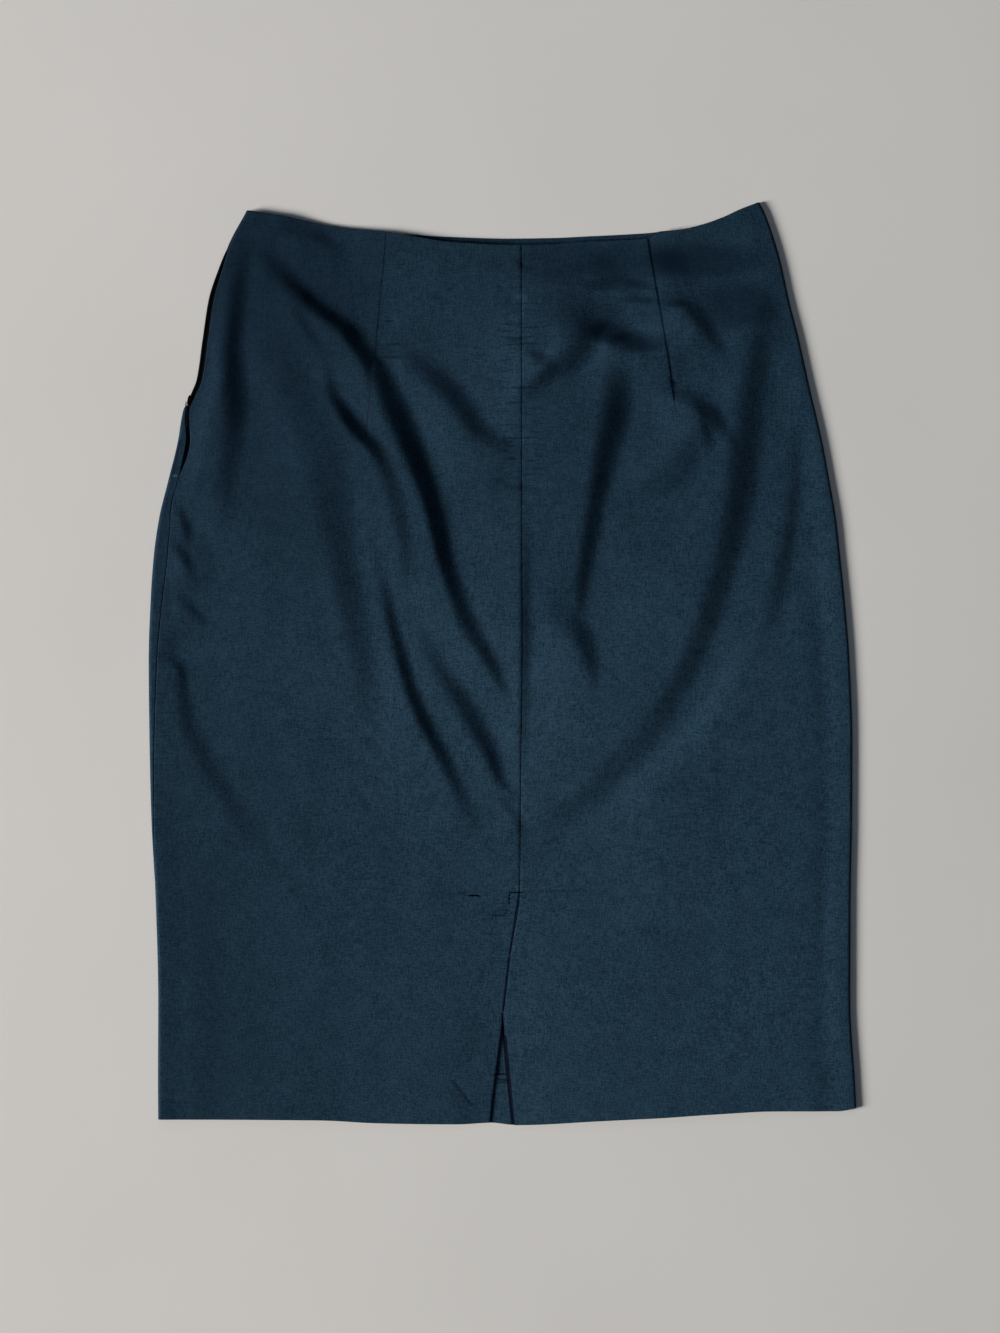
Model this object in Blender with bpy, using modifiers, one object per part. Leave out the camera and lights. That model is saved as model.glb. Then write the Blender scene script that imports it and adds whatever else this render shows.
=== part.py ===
"""A pencil skirt, laid flat with its back upwards, resting on z = 0.

The sizes below are millimetres, and the objects are made in metres. Levels are measured up from the hem, and
widths across from the foot of the centre-back seam. +Y runs from the hem to the waist, and the zip is at -X.
"""

import math
from collections import namedtuple

import bmesh
import bpy
from mathutils import Matrix, Vector

MM = 0.001

# Driving sizes
LENGTH = 630.0  # centre front, waist to hem
CLOTH = 1.2  # wall of the cloth
HEM_DEPTH = 31.0  # turned-up allowance, where the wall is double
VENT_TOP = 164.0  # level where the centre-back seam ends and the vent starts
FACING = 26.0  # width of the turned-in cloth beside the vent
GAP = 0.3  # between pieces that touch
RIM = 2.4  # radius of the rolled side edges
RIM_TOP = 2.0 * RIM
QUARTER = RIM * math.pi / 2.0  # from a rim's outermost line to its top or its foot
SIDE_RUN = 6.0  # length of the finely divided strip along a side edge
DART_CREASE = 0.55
SEAM_CREASE = 0.5
CREASE_REACH = 1.6  # half width of the groove along a dart or the centre-back seam
SEAM_FADE = 10.0  # length over which the seam's groove starts above the vent
DART_FADE = 20.0  # length over which a dart's groove starts above its tip
RIM_BLEND = 14.0  # width over which a rolled side edge turns into the lie of the back
HEM_SWAY = 120.0  # levels below this follow the hem's curve
WAIST_SWAY = 520.0  # levels above this follow the waist's curve
TAPE = 1.0  # thickness of the zip's tape
TAPE_WIDTH = 10.0
MIDDLE = (-13.2, 326.6)  # centre of the laid skirt, which becomes the origin

# The silhouette: where the left and right side edges lie at each level
Side = namedtuple("Side", "level left right")
SIDES = (
    Side(0, -259.2, 239.6),
    Side(30, -259.4, 238.0),
    Side(86, -259.2, 234.8),
    Side(158, -261.0, 235.0),
    Side(215, -264.0, 236.0),
    Side(272, -265.4, 236.2),
    Side(329, -266.0, 234.2),
    Side(372, -264.6, 230.8),
    Side(401, -262.6, 227.8),
    Side(429, -258.8, 224.8),
    Side(458, -251.8, 219.8),
    Side(486, -245.0, 214.6),
    Side(500, -242.8, 211.4),
    Side(507, -241.4, 209.8),
    Side(516, -237.4, 207.6),
    Side(529, -231.8, 204.6),
    Side(558, -227.5, 198.2),
    Side(586, -223.2, 191.1),
    Side(612, -214.6, 185.4),
    Side(629, -207.5, 180.6),
    Side(650, -196.1, 173.0),
    Side(656, -193.0, 169.6),
)

# How far each panel reaches round the left edge, from the rim's outermost line. Below 0 is under the rim.
Reach = namedtuple("Reach", "level front back")
LEFT_REACH = (
    Reach(0, -0.15, 0.15),
    Reach(165, -0.15, 0.15),
    Reach(184, 1.1, 1.6),
    Reach(202, 2.3, 2.8),
    Reach(236, 3.75, 4.1),
    Reach(277, 5.1, 5.4),
    Reach(318, 6.9, 7.2),
    Reach(359, 9.1, 9.4),
    Reach(401, 11.3, 11.6),
    Reach(422, 10.5, 10.8),
    Reach(444, 8.1, 8.4),
    Reach(460, 8.6, 8.9),
    Reach(466, 8.4, 9.8),
    Reach(472, 7.8, 10.3),
    Reach(479, 7.3, 10.6),
    Reach(486, 6.6, 9.8),
    Reach(493, 5.0, 8.0),
    Reach(499, 3.6, 7.0),
    Reach(503, 2.2, 6.3),
    Reach(506, 0.0, 5.9),
    Reach(509, -2.0, 5.6),
    Reach(512, -3.4, 5.4),
    Reach(529, -3.5, 4.4),
    Reach(586, -3.5, 4.2),
    Reach(604, -3.4, 3.3),
    Reach(617, -2.0, 1.7),
    Reach(626, -0.3, 0.3),
    Reach(660, -0.3, 0.3),
)

# How far inside the left silhouette the zip's tape starts: 0 where it shows at the open placket
Tape = namedtuple("Tape", "level inset")
TAPE_EDGE = (
    Tape(450, 3.0),
    Tape(505, 3.0),
    Tape(509, 2.8),
    Tape(513, 0.9),
    Tape(525, 0.0),
    Tape(598, 0.0),
    Tape(606, 1.2),
    Tape(612, 2.2),
    Tape(640, 2.2),
)
TAPE_FOOT = 452.0
TAPE_HEAD = 636.0
TAPE_TOP = 2.5

# The centre back: one seam down to the vent, then the left edge of the vent and how far its edges are parted
Centre = namedtuple("Centre", "level left parting")
CENTRE_BACK = (
    Centre(-4, -22.8, 18.2),
    Centre(0, -22.5, 17.5),
    Centre(32, -18.9, 9.9),
    Centre(61, -15.2, 3.3),
    Centre(79, -12.9, GAP),
    Centre(118, -8.3, GAP),
    Centre(164, -1.3, GAP),
    Centre(251, -0.5, GAP),
    Centre(340, 0.5, GAP),
    Centre(404, 0.3, GAP),
    Centre(660, -0.15, GAP),
)

# The darts' stitching lines, run on down the panel as its guide line
Dart = namedtuple("Dart", "level left right")
DART_LINES = (
    Dart(0, -130.0, 112.0),
    Dart(330, -122.0, 117.0),
    Dart(489, -111.0, 111.0),
    Dart(511, -108.5, 109.0),
    Dart(630, -96.8, 90.0),
)
DART_TIP = {"left": 486.0, "right": 508.0}

# The waist edge of the front, and how much lower the back's edge lies
Waist = namedtuple("Waist", "across level dip")
WAIST = (
    Waist(-196, 650.0, 0.0),
    Waist(-172, 646.5, 0.0),
    Waist(-130, 637.9, 0.0),
    Waist(-100, 634.9, 0.0),
    Waist(-51, 631.2, 3.9),
    Waist(-10, 630.0, 4.8),
    Waist(20, 630.4, 4.8),
    Waist(42, 631.4, 4.0),
    Waist(84, 633.6, 4.4),
    Waist(92, 634.3, 3.6),
    Waist(97, 634.8, 0.0),
    Waist(113, 636.4, 0.0),
    Waist(128, 640.0, 0.0),
    Waist(142, 645.0, 0.0),
    Waist(156, 651.4, 0.0),
    Waist(168, 656.0, 0.0),
)

Hem = namedtuple("Hem", "across level")
HEM = (
    Hem(-260, 1.4),
    Hem(-145, 0.7),
    Hem(-102, -1.4),
    Hem(-45, -2.2),
    Hem(-22, -1.2),
    Hem(-5, -2.9),
    Hem(55, 0.0),
    Hem(98, 2.1),
    Hem(140, 5.0),
    Hem(183, 7.1),
    Hem(226, 7.1),
    Hem(240, 9.3),
)

# How high the back lies where it has no folds, and how much it puffs up half way between its edges
Lie = namedtuple("Lie", "level base puff")
LIE = (
    Lie(-5, 5.2, 0.0),
    Lie(36, 5.2, 0.0),
    Lie(62, 4.2, 0.4),
    Lie(165, 4.2, 0.4),
    Lie(205, 3.3, 0.8),
    Lie(300, 3.2, 1.6),
    Lie(420, 3.4, 2.2),
    Lie(455, 4.4, 2.2),
    Lie(560, 4.4, 2.0),
    Lie(660, 4.4, 0.3),
)

# Each fold is a soft lip: a steep face along its path, a crest on the left of the path as listed, then a
# long fall
Fold = namedtuple("Fold", "name height face fall path")
FOLDS = (
    Fold("hip to seam", 9.0, 7.5, 24.0,
         ((-12, 303), (-39, 351), (-49, 378), (-59, 420), (-73, 476), (-90, 511), (-106, 539), (-124, 566),
          (-156, 590), (-185, 622))),
    Fold("below hip, outer", 4.2, 4.5, 20.0,
         ((-29, 213), (-39, 237), (-53, 251), (-65, 275), (-79, 306), (-90, 341), (-101, 392))),
    Fold("below hip, inner", 3.8, 5.0, 18.0,
         ((-7, 235), (-20, 249), (-31, 277), (-47, 306), (-70, 338))),
    Fold("below left dart", 3.4, 4.5, 20.0,
         ((-84, 400), (-91, 440), (-101, 476), (-111, 486), (-122, 500), (-138, 526))),
    Fold("left hip, soft", 5.0, 11.0, 34.0,
         ((-114, 326), (-122, 366), (-133, 412), (-141, 446), (-152, 500), (-168, 536))),
    Fold("left side", 3.4, 6.5, 26.0,
         ((-194, 198), (-212, 238), (-231, 279), (-242, 313), (-252, 328))),
    Fold("beside zip", 5.0, 8.0, 40.0,
         ((-212, 430), (-212, 460), (-208, 511), (-208, 540), (-207, 568), (-203, 604), (-199, 626))),
    Fold("left of seam", 4.0, 7.0, 20.0,
         ((-4, 475), (-22, 484), (-39, 500), (-51, 520), (-76, 542))),
    Fold("arch, left arm", 5.0, 6.5, 20.0,
         ((0, 520), (25, 537), (40, 549), (56, 565))),
    Fold("arch, right arm", 5.0, 6.0, 20.0,
         ((103, 551), (81, 555), (60, 563), (44, 561))),
    Fold("under right waist", 4.0, 13.0, 20.0,
         ((170, 618), (130, 606), (98, 605), (56, 603), (4, 603))),
    Fold("right of dart", 3.2, 5.5, 18.0,
         ((146, 546), (130, 564), (120, 579), (102, 586))),
    Fold("below right dart", 4.2, 6.0, 22.0,
         ((148, 489), (134, 506), (119, 517), (105, 520))),
    Fold("right hip, long", 5.0, 8.0, 36.0,
         ((24, 212), (48, 233), (74, 259), (99, 289), (120, 326), (135, 364), (147, 404), (155, 444),
          (160, 486), (165, 519), (168, 549))),
    Fold("right hip, outer", 2.4, 7.0, 18.0,
         ((179, 368), (187, 399), (195, 435), (199, 466))),
    Fold("centre of right", 5.0, 7.0, 34.0,
         ((43, 381), (47, 404), (51, 429), (55, 452), (60, 476), (66, 501), (67, 521), (66, 537))),
    Fold("foot of centre", 3.2, 6.0, 22.0,
         ((52, 312), (49, 328), (45, 341), (39, 351), (22, 359))),
)
FOLD_STEPS = 6  # pieces that each stretch of a fold's path is read in
FOLD_ENDS = 0.22  # share of a path over which a fold rises from nothing
FALL_REACH = 2.2  # falls beyond which a fold no longer lifts the cloth
PATH_STRIDE = 12.0  # no two points of a fold's path are further apart

# Levels at which the panels' cross-sections are taken, each with the spacing up to the next
Station = namedtuple("Station", "level spacing")
STATIONS = (
    Station(0, 15.0),
    Station(HEM_DEPTH - 0.6, 1.2),
    Station(HEM_DEPTH + 0.6, 16.5),
    Station(VENT_TOP, 19.0),
    Station(328, 15.0),
    Station(458, 8.0),
    Station(499, 4.0),
    Station(514, 14.0),
    Station(590, 10.0),
    Station(LENGTH, 10.0),
)
OUTER_SHARES = (0.12, 0.25, 0.38, 0.5, 0.62, 0.74, 0.86)
INNER_SHARES = (0.14, 0.28, 0.42, 0.56, 0.7, 0.85)
FLOOR_SHARES = (0.0, 0.13, 0.26, 0.4, 0.47, 0.53, 0.6, 0.74, 0.87, 1.0)
SEAM_RUN = (0.2, 0.4, 0.6, 0.8, 1.0)
EDGE_STRIP = 0.4  # width of the flat strip along a panel's side edge, in line with its neighbour's
FLOOR_INSET = 16.0  # how far inside the silhouette the front's rims start to be divided
SIDE_START = 2.5  # how far inside the left rim's foot the front starts to be finely divided
WRAP_STEPS = 9
SIDE_MARGIN = 8.0  # the double wall thins out over this width, this far inside the side seams
FACING_FADE = 6.0  # and over this width beside the facing
FACING_FOOT = 4.0  # the facing ends this far below the vent's top

# Zip hardware: a flat slider with two ears, a pin between them and a slim pull on the pin
SLIDER_AT = (-237.6, 514.2)
SLIDER_TURN = math.radians(-18.0)
SLIDER_SIZE = (3.4, 7.6, 0.9)
SLIDER_EDGE = 0.3
HINGE_AT = (-238.5, 510.9, 4.9)
PIN_RADIUS = 0.35
EAR = (0.45, 3.6, 2.8)
EAR_SPREAD = 2.35
EAR_OVERHANG = 0.8  # how far the ears reach past the pin
BARREL_RADIUS = 0.85
BARREL_BORE = 0.5
PULL_SIZE = (1.6, 15.5, 0.9)
PULL_EDGE = 0.25
SMOOTH_ANGLE = math.radians(40.0)

Finish = namedtuple("Finish", "colour roughness metallic")
FINISHES = {
    "cloth": Finish((0.014, 0.033, 0.052), 0.85, 0.0),
    "tape": Finish((0.004, 0.005, 0.007), 0.8, 0.0),
    "metal": Finish((0.05, 0.05, 0.055), 0.35, 1.0),
}


def clear_scene():
    for thing in list(bpy.data.objects):
        bpy.data.objects.remove(thing)


def clamp(value, low=0.0, high=1.0):
    return max(low, min(high, value))


def ease(value):
    """0 to 1 with flat ends."""
    value = clamp(value)
    return value * value * (3.0 - 2.0 * value)


def read_curve(points, at):
    """Height at `at` of a smooth curve through (place, height) points, which never swings past them."""
    if at <= points[0][0]:
        return points[0][1]
    if at >= points[-1][0]:
        return points[-1][1]
    k = max(i for i in range(len(points) - 1) if points[i][0] <= at)
    (x0, y0), (x1, y1) = points[k], points[k + 1]
    rise = (y1 - y0) / (x1 - x0)

    def slope_at(i):
        if i == 0 or i == len(points) - 1:
            return rise
        before = (points[i][1] - points[i - 1][1]) / (points[i][0] - points[i - 1][0])
        after = (points[i + 1][1] - points[i][1]) / (points[i + 1][0] - points[i][0])
        if before * after <= 0.0:
            return 0.0
        return 2.0 * before * after / (before + after)

    t = (at - x0) / (x1 - x0)
    m0 = slope_at(k) * (x1 - x0)
    m1 = slope_at(k + 1) * (x1 - x0)
    return (
        (2 * t**3 - 3 * t**2 + 1) * y0
        + (t**3 - 2 * t**2 + t) * m0
        + (3 * t**2 - 2 * t**3) * y1
        + (t**3 - t**2) * m1
    )


def column(table, value, place="level"):
    """A table's column as points for read_curve."""
    return [(getattr(row, place), getattr(row, value)) for row in table]


LEFT = column(SIDES, "left")
RIGHT = column(SIDES, "right")
FRONT_REACH = column(LEFT_REACH, "front")
BACK_REACH = column(LEFT_REACH, "back")
TAPE_INSET = column(TAPE_EDGE, "inset")
VENT_LEFT = column(CENTRE_BACK, "left")
VENT_PARTING = column(CENTRE_BACK, "parting")
DART_AT = {"left": column(DART_LINES, "left"), "right": column(DART_LINES, "right")}
WAIST_LEVEL = column(WAIST, "level", "across")
WAIST_DIP = column(WAIST, "dip", "across")
HEM_LEVEL = column(HEM, "level", "across")
BASE = column(LIE, "base")
PUFF = column(LIE, "puff")


def fold_lines():
    """Each fold's path as a smooth run of points."""
    lines = []
    for fold in FOLDS:
        path = [Vector(p) for p in fold.path]
        points = []
        for i in range(len(path) - 1):
            before = path[max(i - 1, 0)]
            after = path[min(i + 2, len(path) - 1)]
            for step in range(FOLD_STEPS):
                t = step / FOLD_STEPS
                points.append(
                    0.5
                    * (
                        2.0 * path[i]
                        + t * (path[i + 1] - before)
                        + t * t * (2.0 * before - 5.0 * path[i] + 4.0 * path[i + 1] - after)
                        + t**3 * (3.0 * path[i] - before - 3.0 * path[i + 1] + after)
                    )
                )
        points.append(path[-1])
        lines.append((fold, points))
    return lines


FOLD_LINES = fold_lines()


def fold_height(across, level):
    """How much all the folds raise the cloth at a point."""
    here = Vector((across, level))
    total = 0.0
    for fold, points in FOLD_LINES:
        reach = fold.face + FALL_REACH * fold.fall + PATH_STRIDE
        nearest = min(range(len(points)), key=lambda i: (points[i] - here).length_squared)
        if (points[nearest] - here).length > reach:
            continue
        best = None
        for i in (nearest - 1, nearest):
            if i < 0 or i + 1 >= len(points):
                continue
            start, run = points[i], points[i + 1] - points[i]
            t = clamp((here - start).dot(run) / run.length_squared)
            offset = here - (start + t * run)
            if best is None or offset.length < best[0]:
                side = run.x * offset.y - run.y * offset.x
                best = (offset.length, math.copysign(offset.length, side), (i + t) / (len(points) - 1))
        _, off, along = best
        if off < fold.face:
            lift = ease((off + fold.face) / (2.0 * fold.face))
        else:
            lift = math.exp(-(((off - fold.face) / fold.fall) ** 2))
        total += fold.height * lift * ease(along / FOLD_ENDS) * ease((1.0 - along) / FOLD_ENDS)
    return total


def centre_back(level):
    """Half way between the two backs."""
    return read_curve(VENT_LEFT, level) + 0.5 * read_curve(VENT_PARTING, level)


def crease(distance, depth):
    return depth * (1.0 - ease(abs(distance) / CREASE_REACH))


def back_height(across, level):
    """Height of the back's outer face."""
    left = read_curve(LEFT, level)
    right = read_curve(RIGHT, level)
    side = min(across - left, right - across) - RIM
    middle = (across - left) / (right - left)
    puff = read_curve(PUFF, level) * (1.0 - (2.0 * middle - 1.0) ** 4)
    lie = read_curve(BASE, level) + puff + fold_height(across, level)
    height = RIM_TOP + (lie - RIM_TOP) * ease(side / RIM_BLEND)
    height -= crease(across - centre_back(level), SEAM_CREASE) * ease((level - VENT_TOP) / SEAM_FADE)
    for name, line in DART_AT.items():
        above_tip = ease((level - DART_TIP[name]) / DART_FADE)
        if above_tip > 0.0:
            height -= crease(across - read_curve(line, level), DART_CREASE) * above_tip
    return height


def rim_point(reach, level, side):
    """A point on the cloth's outer face, `reach` round a side edge from its outermost line."""
    edge = read_curve(LEFT if side == "left" else RIGHT, level)
    inward = 1.0 if side == "left" else -1.0
    if abs(reach) <= QUARTER:
        angle = reach / RIM
        return edge + inward * RIM * (1.0 - math.cos(angle)), RIM + RIM * math.sin(angle)
    across = edge + inward * (RIM + abs(reach) - QUARTER)
    return across, (back_height(across, level) if reach > 0.0 else 0.0)


def edge_strip(reach, inwards, level, side):
    """A panel's side edge and a point just inside it, in line with the panel across the seam."""
    seam = reach - inwards * 0.5 * GAP
    below = Vector(rim_point(seam - 0.5 * GAP, level, side))
    above = Vector(rim_point(seam + 0.5 * GAP, level, side))
    edge = Vector(rim_point(reach, level, side))
    inner = edge + inwards * EDGE_STRIP * (above - below).normalized()
    return [(edge.x, level, edge.y), (inner.x, level, inner.y)]


def side_run(reach, inwards, level, side):
    """A panel's points from its side edge inwards: 1 runs over the back, -1 under the front."""
    points = edge_strip(reach, inwards, level, side)
    for share in SEAM_RUN:
        across, height = rim_point(reach + inwards * share * SIDE_RUN, level, side)
        points.append((across, level, height))
    return points


def shift_weights(nominal):
    """How much a section follows the hem's curve and the waist's curve."""
    return 1.0 - ease(nominal / HEM_SWAY), ease((nominal - WAIST_SWAY) / (LENGTH - WAIST_SWAY))


def edge_level(nominal, side):
    """The true level of a section at a side edge."""
    hem, waist = shift_weights(nominal)
    end = 0 if side == "left" else -1
    return nominal + hem * HEM_LEVEL[end][1] + waist * (WAIST_LEVEL[end][1] - LENGTH)


def level_across(nominal, across, dipped):
    """The true level of a section at a place across the skirt."""
    hem, waist = shift_weights(nominal)
    left = read_curve(LEFT, edge_level(nominal, "left"))
    right = read_curve(RIGHT, edge_level(nominal, "right"))
    share = (across - left) / (right - left)
    at_waist = WAIST_LEVEL[0][0] + share * (WAIST_LEVEL[-1][0] - WAIST_LEVEL[0][0])
    at_hem = HEM_LEVEL[0][0] + share * (HEM_LEVEL[-1][0] - HEM_LEVEL[0][0])
    level = nominal + hem * read_curve(HEM_LEVEL, at_hem)
    level += waist * (read_curve(WAIST_LEVEL, at_waist) - LENGTH)
    if dipped:
        level -= waist * read_curve(WAIST_DIP, at_waist)
    return level


def section_levels():
    levels = []
    for here, following in zip(STATIONS, STATIONS[1:]):
        count = max(1, round((following.level - here.level) / here.spacing))
        levels += [here.level + (following.level - here.level) * i / count for i in range(count)]
    return levels + [STATIONS[-1].level]


def left_back_section(nominal):
    """Outer points of the left back at one section, from the side seam to the centre back."""
    level = edge_level(nominal, "left")
    points = side_run(read_curve(BACK_REACH, level), 1.0, level, "left")
    dart = read_curve(DART_AT["left"], nominal)
    centre = read_curve(VENT_LEFT, nominal)
    first = points[-1][0]
    places = [first + share * (dart - first) for share in OUTER_SHARES]
    places += [dart - CREASE_REACH, dart, dart + CREASE_REACH]
    places += [dart + share * (centre - dart) for share in INNER_SHARES]
    places += [centre - CREASE_REACH, centre]
    for across in places:
        true_level = level_across(nominal, across, True)
        points.append((across, true_level, back_height(across, true_level)))
    return points


def right_back_section(nominal):
    """Outer points of the right back at one section, from the centre back to the side seam."""
    dart = read_curve(DART_AT["right"], nominal)
    centre = read_curve(VENT_LEFT, nominal) + read_curve(VENT_PARTING, nominal)
    run = side_run(0.5 * GAP, 1.0, edge_level(nominal, "right"), "right")
    last = run[-1][0]
    places = [centre, centre + CREASE_REACH]
    places += [centre + (1.0 - share) * (dart - centre) for share in reversed(INNER_SHARES)]
    places += [dart - CREASE_REACH, dart, dart + CREASE_REACH]
    places += [last + share * (dart - last) for share in reversed(OUTER_SHARES)]
    points = []
    for across in places:
        true_level = level_across(nominal, across, True)
        points.append((across, true_level, back_height(across, true_level)))
    return points + run[::-1]


def front_section(nominal):
    """Outer points of the front at one section: from the right seam, under the skirt, round the left edge."""
    right_level = edge_level(nominal, "right")
    points = side_run(-0.5 * GAP, -1.0, right_level, "right")
    left_level = edge_level(nominal, "left")
    left = read_curve(LEFT, left_level) + FLOOR_INSET
    right = read_curve(RIGHT, right_level) - FLOOR_INSET
    for share in FLOOR_SHARES:
        across = right + share * (left - right)
        points.append((across, level_across(nominal, across, False), 0.0))
    start = -QUARTER - SIDE_START
    end = read_curve(FRONT_REACH, left_level)
    run = end - 2.0 * EDGE_STRIP - start
    for step in range(WRAP_STEPS + 1):
        across, height = rim_point(start + run * step / WRAP_STEPS, left_level, "left")
        points.append((across, left_level, height))
    return points + edge_strip(end, -1.0, left_level, "left")[::-1]


def wall_share(nominal, across, level, has_facing):
    """How much of the double wall is there: 1 in the hem allowance and beside the vent, 0.5 elsewhere."""
    from_side = min(across - read_curve(LEFT, level), read_curve(RIGHT, level) - across)
    inside = ease((from_side - SIDE_MARGIN) / SIDE_MARGIN)
    doubled = 1.0 if nominal < HEM_DEPTH else 0.0
    if has_facing and nominal <= VENT_TOP - FACING_FOOT:
        past = abs(across - centre_back(nominal)) - FACING
        doubled = max(doubled, 1.0 - ease(past / FACING_FADE))
    return 0.5 + 0.5 * doubled * inside


def to_part(point):
    across, level, height = point
    return Vector(((across - MIDDLE[0]) * MM, (level - MIDDLE[1]) * MM, height * MM))


def lay_sheet(name, sections, shares, wall, finish, parts):
    """Joins cross-sections into a sheet of cloth. Solidify gives it its wall, inwards from its outer face."""
    mesh = bpy.data.meshes.new(name)
    sheet = bpy.data.objects.new(name, mesh)
    parts.objects.link(sheet)
    bm = bmesh.new()
    rows = [[bm.verts.new(to_part(point)) for point in section] for section in sections]
    for lower, upper in zip(rows, rows[1:]):
        for i in range(len(lower) - 1):
            bm.faces.new((lower[i], lower[i + 1], upper[i + 1], upper[i]))
    bm.to_mesh(mesh)
    bm.free()
    group = sheet.vertex_groups.new(name="wall")
    for index, share in enumerate(share for row in shares for share in row):
        group.add([index], share, "REPLACE")
    solidify = sheet.modifiers.new("wall", "SOLIDIFY")
    solidify.thickness = wall * MM
    solidify.offset = -1.0
    solidify.use_even_offset = True
    solidify.vertex_group = group.name
    mesh.shade_smooth()
    mesh.set_sharp_from_angle(angle=SMOOTH_ANGLE)
    paint(sheet, finish)
    return sheet


def paint(thing, finish):
    material = bpy.data.materials.get(finish)
    if material is None:
        material = bpy.data.materials.new(finish)
        material.use_nodes = True
        shader = material.node_tree.nodes["Principled BSDF"]
        shader.inputs["Base Color"].default_value = (*FINISHES[finish].colour, 1.0)
        shader.inputs["Roughness"].default_value = FINISHES[finish].roughness
        shader.inputs["Metallic"].default_value = FINISHES[finish].metallic
    thing.data.materials.append(material)


def make_panel(name, section, has_facing, parts):
    """One cut panel of the skirt, from the hem to the waist."""
    levels = section_levels()
    sections = [section(nominal) for nominal in levels]
    shares = [
        [wall_share(nominal, across, level, has_facing) for across, level, _ in points]
        for nominal, points in zip(levels, sections)
    ]
    return lay_sheet(name, sections, shares, 2.0 * CLOTH, "cloth", parts)


def make_tape(parts):
    """The zip's tape, flat between the panels, with its edge out in the open placket."""
    edge_levels = [edge_level(nominal, "left") for nominal in section_levels()]
    between = [level for level in edge_levels if TAPE_FOOT < level < TAPE_HEAD]
    sections = []
    for level in [TAPE_FOOT] + between + [TAPE_HEAD]:
        edge = read_curve(LEFT, level)
        outer = edge + read_curve(TAPE_INSET, level)
        inner = edge + TAPE_WIDTH
        sections.append([(outer, level, TAPE_TOP), (inner, level, TAPE_TOP)])
    shares = [[1.0, 1.0] for _ in sections]
    return lay_sheet("zip_tape", sections, shares, TAPE, "tape", parts)


def add_block(name, size, centre, collection, turn=0.0):
    mesh = bpy.data.meshes.new(name)
    block = bpy.data.objects.new(name, mesh)
    collection.objects.link(block)
    bm = bmesh.new()
    bmesh.ops.create_cube(bm, size=1.0, matrix=Matrix.Diagonal((*(s * MM for s in size), 1.0)))
    bm.to_mesh(mesh)
    bm.free()
    block.location = to_part(centre)
    block.rotation_euler.z = turn
    return block


def add_rod(name, radius, length, centre, collection, sides=16):
    """A cylinder along X."""
    mesh = bpy.data.meshes.new(name)
    rod = bpy.data.objects.new(name, mesh)
    collection.objects.link(rod)
    bm = bmesh.new()
    bmesh.ops.create_cone(
        bm, cap_ends=True, segments=sides, radius1=radius * MM, radius2=radius * MM, depth=length * MM,
        matrix=Matrix.Rotation(math.pi / 2.0, 4, "Y"),
    )
    bm.to_mesh(mesh)
    bm.free()
    rod.location = to_part(centre)
    return rod


def soften(thing, width, segments=2):
    bevel = thing.modifiers.new("edges", "BEVEL")
    bevel.width = width * MM
    bevel.segments = segments


def combine(thing, tool, operation):
    """Adds a tool's shape to a piece or cuts it away. The tool stays as a hidden wire guide."""
    boolean = thing.modifiers.new(tool.name, "BOOLEAN")
    boolean.operation = operation
    boolean.object = tool
    tool.hide_render = True
    tool.display_type = "WIRE"


def make_slider(parts, tools):
    """The slider on the tape, with two ears and the pin that its pull swings on."""
    across, level, _ = HINGE_AT
    floor = TAPE_TOP + GAP
    middle = (*SLIDER_AT, floor + 0.5 * SLIDER_SIZE[2])
    slider = add_block("zip_slider", SLIDER_SIZE, middle, parts, SLIDER_TURN)
    soften(slider, SLIDER_EDGE)
    for name, side in (("left_ear", -1.0), ("right_ear", 1.0)):
        place = (across + 0.5 * side * EAR_SPREAD, level + 0.5 * EAR[1] - EAR_OVERHANG, floor + 0.5 * EAR[2])
        combine(slider, add_block(name, EAR, place, tools), "UNION")
    combine(slider, add_rod("pin", PIN_RADIUS, EAR_SPREAD, HINGE_AT, tools), "UNION")
    paint(slider, "metal")


def make_pull(parts, tools):
    """The pull: a slim tab with a barrel that turns on the slider's pin. Its origin is on the pin."""
    across, level, height = HINGE_AT
    pull = add_rod("zip_pull", BARREL_RADIUS, PULL_SIZE[0], HINGE_AT, parts)
    tab = add_block("tab", PULL_SIZE, (across, level - 0.5 * PULL_SIZE[1] - BARREL_BORE, height), tools)
    soften(tab, PULL_EDGE)
    combine(pull, tab, "UNION")
    combine(pull, add_rod("bore", BARREL_BORE, 2.0 * PULL_SIZE[0], HINGE_AT, tools), "DIFFERENCE")
    paint(pull, "metal")


def main():
    clear_scene()
    parts = bpy.data.collections.new("pencil_skirt")
    tools = bpy.data.collections.new("cutters")
    bpy.context.scene.collection.children.link(parts)
    bpy.context.scene.collection.children.link(tools)
    make_panel("front", front_section, False, parts)
    make_panel("back_left", left_back_section, True, parts)
    make_panel("back_right", right_back_section, True, parts)
    make_tape(parts)
    make_slider(parts, tools)
    make_pull(parts, tools)


main()
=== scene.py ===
# %% [markdown]
# # A pencil skirt, laid flat with its back upwards
#
# The skirt is cut from a fine, deep teal-navy suiting: one front, a left back and a right back. The backs
# have a dart each, a centre seam that opens into a vent at the hem, and a concealed zip in the wearer's
# left side seam. The imported model gives every piece its place. This lesson dresses those pieces: real
# turned edges, soft creases, a weave, a few hand stitches and the small parts of the zip.
#
# The first cell opens the imported model. Its box is kept, and the floor is laid at its foot.

# %% Open the frame
import math
from collections import namedtuple

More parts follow.
